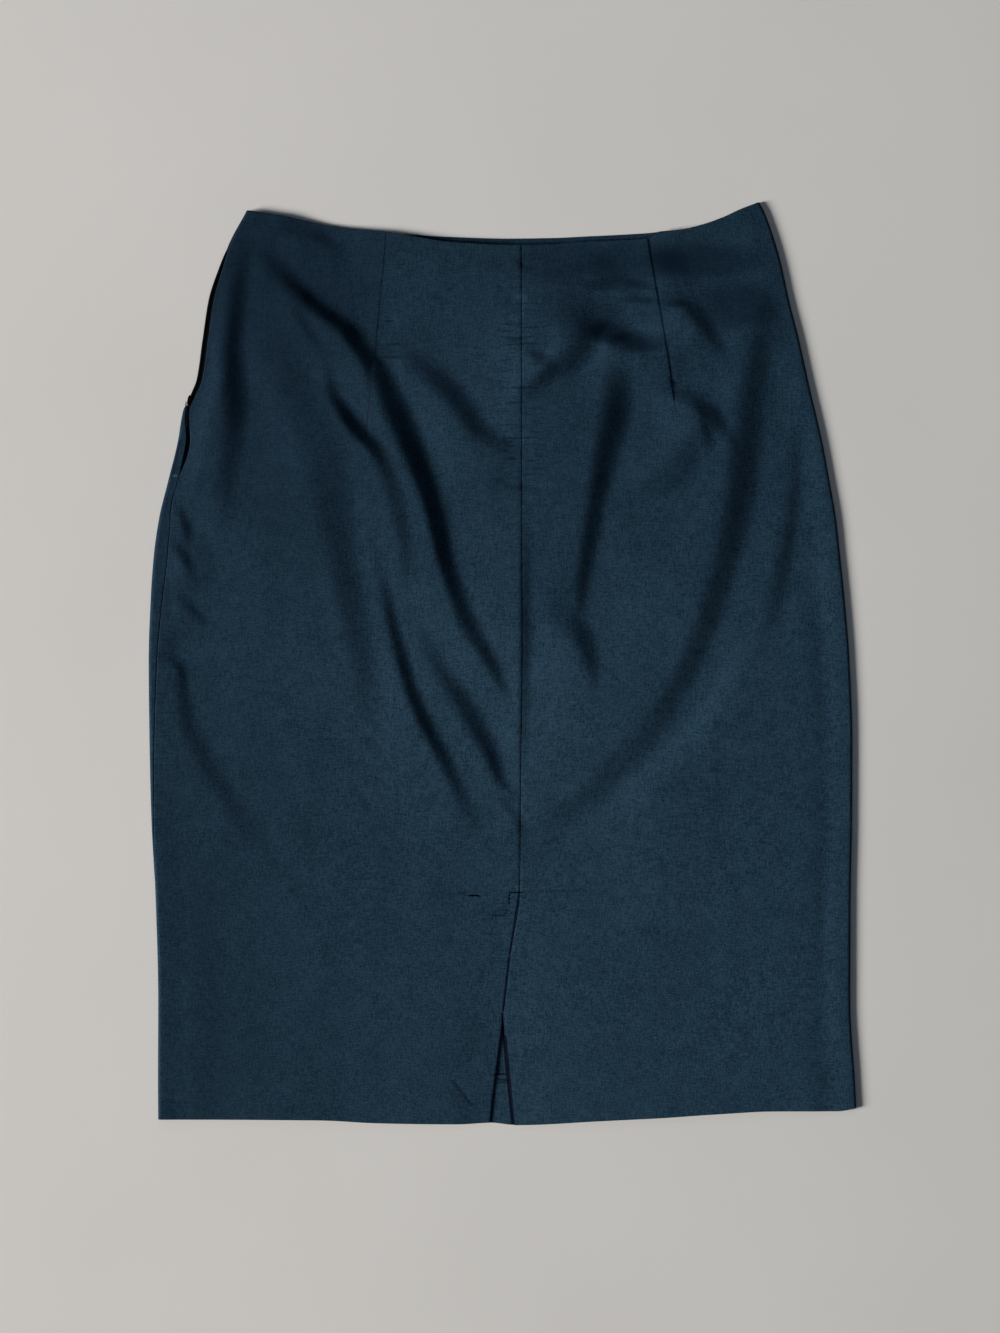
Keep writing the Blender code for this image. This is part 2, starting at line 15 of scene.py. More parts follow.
import bmesh
import bpy
import numpy as np
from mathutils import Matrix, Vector


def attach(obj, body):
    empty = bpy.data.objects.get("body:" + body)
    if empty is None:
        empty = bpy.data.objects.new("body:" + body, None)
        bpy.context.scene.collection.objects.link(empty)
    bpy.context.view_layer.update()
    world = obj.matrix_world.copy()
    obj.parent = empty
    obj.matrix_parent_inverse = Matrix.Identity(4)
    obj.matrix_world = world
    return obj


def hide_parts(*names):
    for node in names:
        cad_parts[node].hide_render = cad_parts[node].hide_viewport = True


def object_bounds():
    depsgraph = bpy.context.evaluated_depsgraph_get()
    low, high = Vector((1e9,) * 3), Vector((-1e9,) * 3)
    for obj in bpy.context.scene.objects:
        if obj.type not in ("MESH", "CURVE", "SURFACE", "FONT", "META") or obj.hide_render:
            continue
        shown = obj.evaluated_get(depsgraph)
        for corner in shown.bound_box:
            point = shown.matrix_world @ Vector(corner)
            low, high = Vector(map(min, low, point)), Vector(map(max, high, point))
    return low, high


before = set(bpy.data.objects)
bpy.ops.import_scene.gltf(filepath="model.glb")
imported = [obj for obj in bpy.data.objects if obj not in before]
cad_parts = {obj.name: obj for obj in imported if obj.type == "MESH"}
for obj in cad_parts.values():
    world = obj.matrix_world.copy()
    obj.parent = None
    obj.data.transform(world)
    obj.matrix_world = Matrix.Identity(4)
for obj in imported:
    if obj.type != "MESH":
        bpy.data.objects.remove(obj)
CAD_LOW, CAD_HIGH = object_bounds()
MM = 0.001
print("nodes:", ", ".join(sorted(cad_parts)))
print("laid size in mm:", [round((high - low) / MM, 1) for low, high in zip(CAD_LOW, CAD_HIGH)])

# %% [markdown]
# ## Measuring like a cutter
#
# A cutter measures a skirt up from its hem and out from its centre back, so this lesson does the same:
# `level` is millimetres above the hem, `across` is millimetres to the right of the foot of the centre-back
# seam, and `height` is millimetres above the table. One function turns these into the frame's metres.

# %% From the cutter's millimetres to the frame
MIDDLE = (-13.2, 326.6)
LENGTH = 630.0


def to_frame(across, level, height):
    """Arrays of cutter's millimetres as points in the frame."""
    across, level, height = np.broadcast_arrays(across, level, height)
    return np.stack([(across - MIDDLE[0]) * MM, (level - MIDDLE[1]) * MM, height * MM], axis=-1)


print("foot of the centre back:", to_frame(0.0, 0.0, 0.0).round(4))

# %% [markdown]
# ## The table, the camera and the light
#
# A flat garment is shown from straight above. A long lens keeps the sides from leaning outwards. The
# picture is taken to be 1000 by 1333, and its width spans 714 mm of the table, so the lens and the span
# give the distance.
#
# A low key light from the left rakes over the cloth, so each crease shows a lit side and a shaded side. Two
# weaker lights and a pale surround stop the shade from going black.

# %% Camera
PICTURE = (1000, 1333)
SPAN_ACROSS = 0.7143
AIM = Vector((-0.0021, -0.0021, 0.0))
LENS = 85.0
SENSOR = 36.0
NEAREST = 0.05
span_long = SPAN_ACROSS * PICTURE[1] / PICTURE[0]
distance = 0.5 * span_long * LENS / (0.5 * SENSOR)

lens = bpy.data.cameras.new("camera")
lens.lens = LENS
lens.sensor_width = SENSOR
lens.clip_start = NEAREST
camera = bpy.data.objects.new("camera", lens)
camera.location = AIM + Vector((0.0, 0.0, distance))
bpy.context.scene.collection.objects.link(camera)
bpy.context.scene.camera = camera
print("camera height in metres:", round(distance, 3))

# %% Lights and surround
Lamp = namedtuple("Lamp", "name azimuth elevation distance size watts colour aim")
LAMPS = (
    Lamp("key", 190.0, 22.0, 9.0, 3.2, 1785.0, (1.0, 0.975, 0.945), (0.0, 0.0)),
    Lamp("top light", 105.0, 38.0, 3.0, 1.6, 9.0, (0.78, 0.87, 1.0), (0.0, 0.0)),
    Lamp("right fill", 0.0, 72.0, 0.9, 0.5, 0.35, (0.68, 0.84, 1.0), (0.12, -0.20)),
)
SURROUND = (0.62, 0.80, 1.0)
SURROUND_STRENGTH = 0.035


def direction(azimuth, elevation):
    """Unit vector towards a light, with azimuth turned from +X towards +Y."""
    turn, rise = math.radians(azimuth), math.radians(elevation)
    return Vector((math.cos(turn) * math.cos(rise), math.sin(turn) * math.cos(rise), math.sin(rise)))


for lamp in LAMPS:
    light = bpy.data.lights.new(lamp.name, "AREA")
    light.shape = "DISK"
    light.size = lamp.size
    light.energy = lamp.watts
    light.color = lamp.colour
    holder = bpy.data.objects.new(lamp.name, light)
    towards = direction(lamp.azimuth, lamp.elevation)
    holder.location = AIM + Vector((*lamp.aim, 0.0)) + towards * lamp.distance
    holder.rotation_euler = towards.to_track_quat("Z", "Y").to_euler()
    bpy.context.scene.collection.objects.link(holder)

surround = bpy.data.worlds.new("surround")
surround.use_nodes = True
surround.node_tree.nodes["Background"].inputs["Color"].default_value = (*SURROUND, 1.0)
surround.node_tree.nodes["Background"].inputs["Strength"].default_value = SURROUND_STRENGTH
bpy.context.scene.world = surround
bpy.context.scene.view_settings.view_transform = "Standard"
print("lights:", ", ".join(lamp.name for lamp in LAMPS))

# %% [markdown]
# ## Shader maths that reads like maths
#
# Materials are graphs of nodes, and a graph of twenty Math nodes is hard to read. A small class wraps one
# output socket and overloads the operators, so that `1 - mask * 0.4` adds the nodes that it needs. Any
# other node comes from one method, `node`, which takes the node's type, its settings, and the values or
# links of its inputs. A Mix node has inputs and outputs of the same name for each kind of value, so its
# colour ones are asked for by number.

# %% A socket that can be added and multiplied
MIX_FIRST, MIX_SECOND, MIX_RESULT = 6, 7, 2


class Value:
    """One number that varies over a surface: an output socket of a node."""

    def __init__(self, tree, socket):
        self.tree = tree
        self.socket = socket

    def maths(self, operation, first, second=None):
        return self.tree.node("ShaderNodeMath", {"operation": operation}, {0: first, 1: second})["Value"]

    def __add__(self, other):
        return self.maths("ADD", self, other)

    def __radd__(self, other):
        return self.maths("ADD", other, self)

    def __sub__(self, other):
        return self.maths("SUBTRACT", self, other)

    def __rsub__(self, other):
        return self.maths("SUBTRACT", other, self)

    def __mul__(self, other):
        return self.maths("MULTIPLY", self, other)

    def __rmul__(self, other):
        return self.maths("MULTIPLY", other, self)

    def __truediv__(self, other):
        return self.maths("DIVIDE", self, other)

    def sine(self):
        return self.maths("SINE", self)

    def size(self):
        return self.maths("ABSOLUTE", self)

    def step(self, low, high):
        """0 below `low`, 1 above `high` and a soft ramp between."""
        ramp = self.tree.node(
            "ShaderNodeMapRange",
            {"interpolation_type": "SMOOTHSTEP"},
            {"Value": self, "From Min": low, "From Max": high},
        )
        return ramp["Result"]


class Finish:
    """A material under construction."""

    def __init__(self, name, **constants):
        self.material = bpy.data.materials.new(name)
        self.material.use_nodes = True
        self.nodes = self.material.node_tree.nodes
        self.shader = self.nodes["Principled BSDF"]
        for socket, value in constants.items():
            self.shader.inputs[socket.replace("_", " ")].default_value = value

    def node(self, kind, settings=None, inputs=None):
        """Adds a node and returns its outputs by name and by number, each ready for maths."""
        made = self.nodes.new(kind)
        for setting, value in (settings or {}).items():
            setattr(made, setting, value)
        for socket, value in (inputs or {}).items():
            if value is not None:
                self.feed(made.inputs[socket], value)
        outputs = [Value(self, output) for output in made.outputs]
        return {**{output.socket.name: output for output in outputs}, **dict(enumerate(outputs))}

    def feed(self, socket, value):
        if isinstance(value, Value):
            self.material.node_tree.links.new(value.socket, socket)
        else:
            socket.default_value = value

    def set(self, socket, value):
        self.feed(self.shader.inputs[socket], value)

    def place(self):
        """The point in the frame, in millimetres, as x, y and z."""
        spot = self.node("ShaderNodeTexCoord")["Object"]
        parts = self.node("ShaderNodeSeparateXYZ", None, {"Vector": spot})
        return [parts[axis] * (1.0 / MM) for axis in ("X", "Y", "Z")]

    def vector(self, x, y, z):
        return self.node("ShaderNodeCombineXYZ", None, {"X": x, "Y": y, "Z": z})["Vector"]

    def noise(self, vector, scale=1.0, detail=2.0, roughness=0.5):
        """Soft random values between 0 and 1."""
        inputs = {"Vector": vector, "Scale": scale, "Detail": detail, "Roughness": roughness}
        return self.node("ShaderNodeTexNoise", None, inputs)["Fac"]

    def mix(self, share, first, second):
        """A colour between two colours."""
        inputs = {"Factor": share, MIX_FIRST: first, MIX_SECOND: second}
        return self.node("ShaderNodeMix", {"data_type": "RGBA"}, inputs)[MIX_RESULT]

    def bump(self, height, distance):
        """Feeds a relief to the shader's normal, `distance` millimetres deep."""
        inputs = {"Height": height, "Distance": distance * MM, "Strength": 1.0}
        self.set("Normal", self.node("ShaderNodeBump", None, inputs)["Normal"])


print("shader helpers ready")

# %% [markdown]
# ## The floor
#
# A plain pale floor carries the skirt. It is staging and no part of the skirt. A faint, very broad
# variation of its tone keeps it from looking like a void.

# %% Floor
FLOOR_SIZE = 24.0
FLOOR_PALE = (0.60, 0.585, 0.565, 1.0)
FLOOR_DEEP = (0.54, 0.525, 0.505, 1.0)
FLOOR_CLOUDS = 0.004


def make_floor():
    mesh = bpy.data.meshes.new("floor")
    sheet = bmesh.new()
    bmesh.ops.create_grid(sheet, x_segments=1, y_segments=1, size=0.5 * FLOOR_SIZE)
    sheet.to_mesh(mesh)
    sheet.free()
    floor = bpy.data.objects.new("floor", mesh)
    bpy.context.scene.collection.objects.link(floor)
    finish = Finish("floor", Roughness=0.9, Specular_IOR_Level=0.2)
    x, y, _ = finish.place()
    cloudy = finish.noise(finish.vector(x, y, 0.0), FLOOR_CLOUDS, detail=3.0)
    finish.set("Base Color", finish.mix(cloudy, FLOOR_PALE, FLOOR_DEEP))
    mesh.materials.append(finish.material)
    floor.location.z = min(CAD_LOW.z, 0.0)


make_floor()
print("floor at", round(CAD_LOW.z, 4))

# %% [markdown]
# ## The outline
#
# The silhouette is what makes this a pencil skirt: it is widest at the hip, runs in a little to the hem and
# narrows to a waist that dips in the middle, as a cut that fits round hips does. These are the short tables
# that the solids were made from, with the left reach drawn a little finer beside the zip. A row says where
# the side edges lie at a level, how far each panel reaches round the left edge, where the centre back runs
# and how far its vent parts, where the darts run, how high the waist and the hem lie, or how far the back
# lies above the table.

# %% Tables of the outline
Side = namedtuple("Side", "level left right")
SIDES = (
    Side(0, -259.2, 239.6),
    Side(30, -259.4, 238.0),
    Side(86, -259.2, 234.8),
    Side(158, -261.0, 235.0),
    Side(215, -264.0, 236.0),
    Side(272, -265.4, 236.2),
    Side(329, -266.0, 234.2),
    Side(372, -264.6, 230.8),
    Side(401, -262.6, 227.8),
    Side(429, -258.8, 224.8),
    Side(458, -251.8, 219.8),
    Side(486, -245.0, 214.6),
    Side(500, -242.8, 211.4),
    Side(507, -241.4, 209.8),
    Side(516, -237.4, 207.6),
    Side(529, -231.8, 204.6),
    Side(558, -227.5, 198.2),
    Side(586, -223.2, 191.1),
    Side(612, -214.6, 185.4),
    Side(629, -207.5, 180.6),
    Side(650, -196.1, 173.0),
    Side(656, -193.0, 169.6),
)
Reach = namedtuple("Reach", "level front back")
LEFT_REACH = (
    Reach(0, -0.15, 0.15),
    Reach(165, -0.15, 0.15),
    Reach(184, 1.1, 1.6),
    Reach(202, 2.3, 2.8),
    Reach(236, 3.75, 4.1),
    Reach(277, 5.1, 5.4),
    Reach(318, 6.9, 7.2),
    Reach(359, 9.1, 9.4),
    Reach(401, 11.3, 11.6),
    Reach(422, 10.5, 10.8),
    Reach(444, 8.1, 8.4),
    Reach(460, 8.6, 8.9),
    Reach(466, 8.4, 9.8),
    Reach(472, 8.2, 10.8),
    Reach(479, 7.9, 11.0),
    Reach(486, 7.4, 10.3),
    Reach(493, 6.1, 8.9),
    Reach(499, 4.9, 7.6),
    Reach(503, 4.0, 6.4),
    Reach(506, 3.6, 5.7),
    Reach(509, 2.6, 5.2),
    Reach(512, -1.2, 5.4),
    Reach(516, -3.4, 5.8),
    Reach(529, -3.5, 5.6),
    Reach(586, -3.5, 5.4),
    Reach(604, -3.4, 4.7),
    Reach(617, -2.0, 3.7),
    Reach(626, -0.3, 2.4),
    Reach(660, -0.3, 0.3),
)
Centre = namedtuple("Centre", "level left parting")
CENTRE_BACK = (
    Centre(-4, -22.8, 18.2),
    Centre(0, -22.5, 17.5),
    Centre(32, -18.9, 9.9),
    Centre(61, -15.2, 3.3),
    Centre(79, -12.9, 0.3),
    Centre(118, -8.3, 0.3),
    Centre(164, -1.3, 0.3),
    Centre(251, -0.5, 0.3),
    Centre(340, 0.5, 0.3),
    Centre(404, 0.3, 0.3),
    Centre(660, -0.15, 0.3),
)
Dart = namedtuple("Dart", "level left right")
DARTS = (
    Dart(0, -130.0, 112.0),
    Dart(330, -122.0, 117.0),
    Dart(489, -111.0, 111.0),
    Dart(511, -108.5, 109.0),
    Dart(630, -96.8, 90.0),
)
DART_TIP = {"left": 486.0, "right": 500.0}
Waist = namedtuple("Waist", "across level dip")
WAIST = (
    Waist(-196, 650.0, 0.0),
    Waist(-172, 646.5, 0.0),
    Waist(-130, 637.9, 0.0),
    Waist(-100, 634.9, 0.0),
    Waist(-51, 631.2, 3.9),
    Waist(-10, 630.0, 4.8),
    Waist(20, 630.4, 4.8),
    Waist(42, 631.4, 4.0),
    Waist(84, 633.6, 4.4),
    Waist(92, 634.3, 3.6),
    Waist(97, 634.8, 0.0),
    Waist(113, 636.4, 0.0),
    Waist(128, 640.0, 0.0),
    Waist(142, 645.0, 0.0),
    Waist(156, 651.4, 0.0),
    Waist(168, 656.0, 0.0),
)
Hem = namedtuple("Hem", "across level")
HEM = (
    Hem(-260, 1.4),
    Hem(-145, 0.7),
    Hem(-102, -1.4),
    Hem(-45, -2.2),
    Hem(-22, -1.2),
    Hem(-5, -2.9),
    Hem(55, 0.0),
    Hem(98, 2.1),
    Hem(140, 5.0),
    Hem(183, 7.1),
    Hem(226, 7.1),
    Hem(240, 9.3),
)
Lie = namedtuple("Lie", "level base puff")
LIE = (
    Lie(-5, 3.6, 0.0),
    Lie(36, 3.6, 0.0),
    Lie(62, 3.2, 0.4),
    Lie(165, 3.2, 0.6),
    Lie(205, 3.2, 1.0),
    Lie(300, 3.2, 2.2),
    Lie(420, 3.4, 3.4),
    Lie(455, 4.0, 3.6),
    Lie(560, 4.2, 3.2),
    Lie(660, 4.2, 0.3),
)
print("rows that shape the outline:", len(SIDES) + len(LEFT_REACH) + len(CENTRE_BACK) + len(WAIST) + len(HEM))

# %% [markdown]
# ## Reading a table as a smooth curve
#
# Straight runs between rows would show as corners in the cloth. A monotone cubic curve passes through every
# row and never swings past one, which matters at a waist or a vent, where an overshoot would look like a
# bump.

# %% Curves
def through(table, value, place="level"):
    """A smooth curve through a table's column, as a function of an array."""
    xs = np.array([getattr(row, place) for row in table], float)
    ys = np.array([getattr(row, value) for row in table], float)
    rise = np.diff(ys) / np.diff(xs)
    slope = np.concatenate([rise[:1], np.zeros(len(rise) - 1), rise[-1:]])
    turning = rise[:-1] * rise[1:] <= 0.0
    total = np.where(turning, 1.0, rise[:-1] + rise[1:])
    slope[1:-1] = np.where(turning, 0.0, 2.0 * rise[:-1] * rise[1:] / total)

    def read(at):
        at = np.clip(at, xs[0], xs[-1])
        k = np.clip(np.searchsorted(xs, at, side="right") - 1, 0, len(xs) - 2)
        width = xs[k + 1] - xs[k]
        t = (at - xs[k]) / width
        return (
            (2 * t**3 - 3 * t**2 + 1) * ys[k]
            + (t**3 - 2 * t**2 + t) * slope[k] * width
            + (3 * t**2 - 2 * t**3) * ys[k + 1]
            + (t**3 - t**2) * slope[k + 1] * width
        )

    return read


def ease(value):
    """0 to 1 with flat ends."""
    value = np.clip(value, 0.0, 1.0)
    return value * value * (3.0 - 2.0 * value)


EDGE = {"left": through(SIDES, "left"), "right": through(SIDES, "right")}
REACH = {"front": through(LEFT_REACH, "front"), "back": through(LEFT_REACH, "back")}
VENT_LEFT = through(CENTRE_BACK, "left")
VENT_PARTING = through(CENTRE_BACK, "parting")
DART_AT = {"left": through(DARTS, "left"), "right": through(DARTS, "right")}
WAIST_LEVEL = through(WAIST, "level", "across")
WAIST_DIP = through(WAIST, "dip", "across")
HEM_LEVEL = through(HEM, "level", "across")
BASE = through(LIE, "base")
PUFF = through(LIE, "puff")
hip = max(range(200, 400), key=lambda level: EDGE["right"](level) - EDGE["left"](level))
print("widest at level", hip, "where it is", round(float(EDGE["right"](hip) - EDGE["left"](hip)), 1), "mm")

# %% [markdown]
# ## The creases
#
# A laid skirt keeps the memory of the body and of the hanger: soft folds run from the hips and the darts'
# tips towards the centre-back seam. Each is a lip, with a steep face on one side, a crest, and a long fall
# behind it. A cloth simulation would drop folds wherever its forces put them, so these are listed, one row
# each.
#
# `fall` is the length of the long fall. `share` is how much of the height rises as a crest; the rest is
# sunk in front of the face, which darkens the foot of the crease without lifting the cloth. Each point of
# `path` is a place on the steep face: across, level, height and half width of the face. The crest lies on
# the left of the path.

# %% Table of creases
Fold = namedtuple("Fold", "name fall share path")
FOLDS = (
    Fold("zip side to waist", 60, 0.5,
         ((-212, 419, 0, 9), (-210, 454, 3, 10), (-206, 483, 4.6, 11), (-204, 511, 7, 11.5),
          (-206, 529, 7.4, 11.5), (-208, 551, 7.4, 11.5), (-206, 579, 6.6, 11.5), (-203, 608, 5, 11),
          (-201, 629, 0, 10))),
    Fold("hip to left dart", 50, 0.5,
         ((-109, 504, 0, 2.4), (-108, 521, 1, 3), (-110, 535, 2.2, 4), (-113, 547, 5.6, 6.6),
          (-119, 557, 8.4, 7.6), (-125, 566, 9, 7.6), (-133, 572, 9, 7.4), (-141, 578, 9, 7.4),
          (-149, 584, 8.4, 7.6), (-157, 592, 7.2, 7.8), (-167, 601, 5, 8), (-177, 610, 3, 8),
          (-187, 621, 0, 7))),
    Fold("left dart to seam", 60, 0.75,
         ((-8, 298, 0, 4), (-17, 318, 3.6, 5.4), (-24, 331, 4.8, 6.6), (-33, 346, 5.4, 7.8),
          (-42, 364, 5.7, 8.2), (-49, 383, 6, 7.4), (-55, 401, 6.4, 6.8), (-59, 419, 7, 7),
          (-63, 436, 7.9, 7.4), (-70, 458, 9, 8.4), (-79, 481, 11, 10.6), (-88, 502, 12, 11.4),
          (-96, 522, 10, 10.4), (-103, 539, 6, 7.6), (-108, 551, 0, 6))),
    Fold("under left dart", 34, 0.5,
         ((-85, 378, 0, 4), (-82, 404, 2, 6), (-85, 426, 2.7, 7.4), (-90, 447, 3.1, 7.8),
          (-97, 466, 3.7, 7.4), (-104, 479, 5.4, 6), (-111, 486, 7.2, 5.8), (-119, 494, 7.6, 5.8),
          (-127, 506, 6.4, 5.6), (-135, 520, 3.4, 5), (-140, 539, 0, 4))),
    Fold("left hip, broad", 80, 0.5,
         ((-104, 269, 0, 10), (-110, 308, 2.8, 11), (-117, 347, 4, 12), (-124, 383, 5, 13.5),
          (-130, 419, 5.8, 16), (-137, 454, 6.8, 18), (-143, 486, 7, 20), (-156, 516, 5.4, 18),
          (-170, 542, 3.4, 15), (-185, 565, 0, 13))),
    Fold("left hip, thin", 8, 0.5,
         ((-131, 541, 0, 3), (-147, 556, 0.9, 3), (-158, 574, 0.9, 3), (-170, 597, 0, 3))),
    Fold("under seat, outer", 30, 0.5,
         ((-30, 204, 0, 6), (-44, 235, 3, 6.4), (-55, 258, 4.2, 6), (-68, 282, 5, 5.6),
          (-78, 305, 5.2, 5.6), (-85, 328, 4.5, 5.4), (-92, 354, 3.4, 5), (-97, 378, 2.2, 4.8),
          (-104, 404, 0, 4))),
    Fold("under seat, inner", 30, 0.5,
         ((-6, 234, 0, 3), (-15, 244, 3.4, 4.6), (-23, 264, 4.8, 6.8), (-32, 281, 5.5, 8.4),
          (-42, 299, 5.2, 8.8), (-54, 317, 4.2, 8.6), (-65, 335, 2.6, 7.6), (-75, 356, 0, 5))),
    Fold("foot of seat", 10, 0.5,
         ((0, 201, 0, 3), (-3, 215, 1.2, 3), (-9, 224, 1.2, 3), (-17, 233, 0, 3))),
    Fold("left side, hooked", 45, 0.5,
         ((-176, 186, 0, 8), (-203, 222, 2, 8.4), (-216, 242, 2.8, 9), (-229, 264, 3, 9),
          (-238, 285, 2.9, 8), (-241, 306, 2.4, 6), (-243, 323, 2.8, 4), (-250, 329, 2.6, 3.4),
          (-256, 333, 0, 3))),
    Fold("left side, first nick", 14, 0.5,
         ((-236, 409, 0, 3), (-239, 423, 2.6, 3.6), (-243, 433, 2.6, 3.4), (-248, 441, 0, 3))),
    Fold("left side, second nick", 18, 0.5,
         ((-234, 384, 0, 3), (-238, 399, 3.1, 4.4), (-244, 407, 3.1, 3.8), (-251, 413, 0, 3))),
    Fold("left side, third nick", 16, 0.5,
         ((-222, 352, 0, 4), (-230, 361, 2.1, 4.2), (-238, 368, 2.4, 4.2), (-246, 376, 0, 3))),
    Fold("left side, soft", 24, 0.5,
         ((-224, 372, 0, 8), (-225, 401, 2, 9), (-232, 422, 0, 8))),
    Fold("across left panel", 34, 0.7,
         ((1, 475, 0, 5), (-21, 486, 5.2, 8.4), (-32, 494, 6.6, 10), (-41, 508, 6.8, 11),
          (-51, 521, 7, 11.4), (-63, 532, 6.6, 11), (-77, 542, 4.6, 10), (-95, 554, 0, 7))),
    Fold("left waist", 14, 0.5,
         ((-120, 615, 0, 5), (-143, 631, 2.8, 6), (-158, 634, 2.6, 6), (-172, 637, 0, 5))),
    Fold("arch, left arm", 38, 0.6,
         ((-5, 514, 0, 4), (8, 524, 4.8, 5.6), (21, 533, 6.6, 8), (32, 540, 8.8, 11), (43, 549, 9, 12),
          (50, 559, 5.6, 9), (56, 565, 0, 5))),
    Fold("arch, right arm", 34, 0.38,
         ((113, 549, 0, 5), (92, 551, 4.6, 7.6), (81, 554, 7.8, 9.8), (70, 558, 8.6, 10.2),
          (60, 561, 7.6, 8.8), (50, 562, 3.6, 6), (42, 559, 0, 5))),
    Fold("beside seam", 20, 0.5,
         ((25, 538, 0, 3), (15, 543, 2.6, 3), (8, 547, 2.4, 3), (0, 551, 0, 3))),
    Fold("under right waist", 30, 0.5,
         ((178, 624, 0, 5), (160, 621, 1.6, 7), (138, 617, 2.6, 10), (110, 612, 3.2, 13),
          (81, 607, 3.2, 15), (49, 606, 3.2, 16), (18, 607, 2.6, 14), (-12, 609, 1.2, 12),
          (-33, 611, 0, 10))),
    Fold("right waist, lower edge", 8, 0.5,
         ((98, 593, 0, 2), (88, 596, 2, 2.5), (78, 597, 2.6, 3), (65, 594, 2, 2.5), (52, 592, 0, 2.5))),
    Fold("right waist, dash", 8, 0.5,
         ((120, 584, 0, 2), (108, 584, 2.2, 2), (95, 584, 2.2, 2), (85, 585, 2.2, 2), (75, 587, 0, 2))),
    Fold("right corner", 24, 0.5,
         ((188, 582, 0, 9), (165, 586, 2, 11), (148, 586, 2.4, 11), (128, 584, 2, 9), (108, 581, 0, 6))),
    Fold("right of dart", 32, 0.25,
         ((146, 544, 0, 5), (137, 558, 3.4, 7), (129, 569, 4.4, 7.8), (120, 580, 4.2, 7.6),
          (112, 586, 3, 6.4), (102, 589, 0, 5))),
    Fold("right dart's foot", 38, 0.5,
         ((149, 486, 0, 5), (140, 499, 4.6, 7.2), (133, 507, 6.6, 8.6), (123, 514, 6.4, 8.2),
          (113, 518, 4.6, 7), (100, 522, 0, 4))),
    Fold("right dart's foot, tail", 14, 0.5,
         ((135, 475, 0, 3), (133, 486, 2.2, 4.6), (130, 496, 2.6, 5), (125, 509, 0, 3))),
    Fold("middle of right panel", 54, 0.5,
         ((41, 358, 0, 4), (43, 379, 3.1, 6.2), (47, 404, 4.5, 7.6), (51, 429, 4.9, 8.4),
          (55, 452, 6, 9.6), (60, 476, 7.6, 12), (66, 501, 8.6, 13.2), (68, 525, 7.2, 13),
          (66, 549, 0, 11))),
    Fold("middle of right, foot", 38, 0.35,
         ((53, 306, 0, 5), (50, 325, 3.4, 7.4), (46, 339, 5.4, 9.8), (40, 351, 6, 11), (30, 358, 4, 9.4),
          (19, 362, 0, 6))),
    Fold("right panel, soft", 28, 0.5,
         ((68, 441, 0, 8), (90, 449, 3, 12), (108, 460, 4, 14), (120, 477, 3, 11), (125, 496, 0, 8))),
    Fold("right hip, long", 56, 0.5,
         ((0, 211, 0, 5), (24, 217, 1.8, 8), (48, 233, 2.5, 11), (74, 259, 3.2, 11.8),
          (99, 289, 3.8, 11.4), (120, 326, 4.5, 11), (135, 364, 5.1, 11.6), (147, 404, 6, 12.8),
          (155, 444, 7.4, 14), (160, 486, 7.2, 14.2), (165, 519, 5.8, 13), (170, 551, 3.6, 10.6),
          (176, 578, 0, 8))),
    Fold("right hip, outer", 30, 0.5,
         ((168, 333, 0, 8), (180, 368, 2.6, 9), (188, 399, 3.4, 9.8), (196, 435, 3.4, 10.4),
          (200, 479, 2.6, 10), (201, 519, 0, 8))),
    Fold("right of seam", 34, 0.5,
         ((0, 240, 0, 4), (2, 294, 2, 5), (3, 333, 2.6, 5), (3, 372, 2.2, 5), (3, 411, 1.2, 4.4),
          (2, 447, 0, 3))),
    Fold("lit, under right hip", 44, 0.5,
         ((158, 344, 0, 10), (142, 308, 3, 11), (119, 274, 3.8, 12), (92, 247, 3.8, 12),
          (63, 225, 2.6, 11), (28, 206, 0, 8))),
    Fold("left edge, soft", 40, 0.5,
         ((-227, -3, 0.5, 12), (-225, 44, 0.8, 13), (-225, 86, 0.9, 13), (-226, 129, 0.9, 13),
          (-228, 169, 0.5, 12), (-230, 201, 0, 9))),
)
print("creases:", len(FOLDS))

# %% [markdown]
# ## Adding the creases up
#
# All the creases are added on one fine grid that covers the skirt, and then softened a little, because
# cloth has no sharp corners. The panels read their heights from this grid.

# %% A grid of heights
STEP = 1.5
GRID_LOW = (-275.0, -15.0)
GRID_SHAPE = (460, 350)
FOLD_STEPS = 4
FACE_MARGIN = 12.0
FALL_REACH = 2.2
FALL_SOFTEN = 8.0
FALL_SOFTEN_SHARE = 0.25
SOFTEN = 1.1
BELL_REACH = 3
grid_levels = GRID_LOW[1] + STEP * np.arange(GRID_SHAPE[0])
grid_acrosses = GRID_LOW[0] + STEP * np.arange(GRID_SHAPE[1])
grid_level, grid_across = np.meshgrid(grid_levels, grid_acrosses, indexing="ij")


def smooth_path(points):
    """A smooth run of rows through a few."""
    points = np.array(points, float)
    padded = np.concatenate([points[:1], points, points[-1:]])
    run = []
    for a, b, c, d in zip(padded, padded[1:], padded[2:], padded[3:]):
        for t in np.arange(FOLD_STEPS) / FOLD_STEPS:
            bend = 2 * a - 5 * b + 4 * c - d
            run.append(0.5 * (2 * b + t * (c - a) + t * t * bend + t**3 * (3 * b - a - 3 * c + d)))
    return np.array(run + [points[-1]])


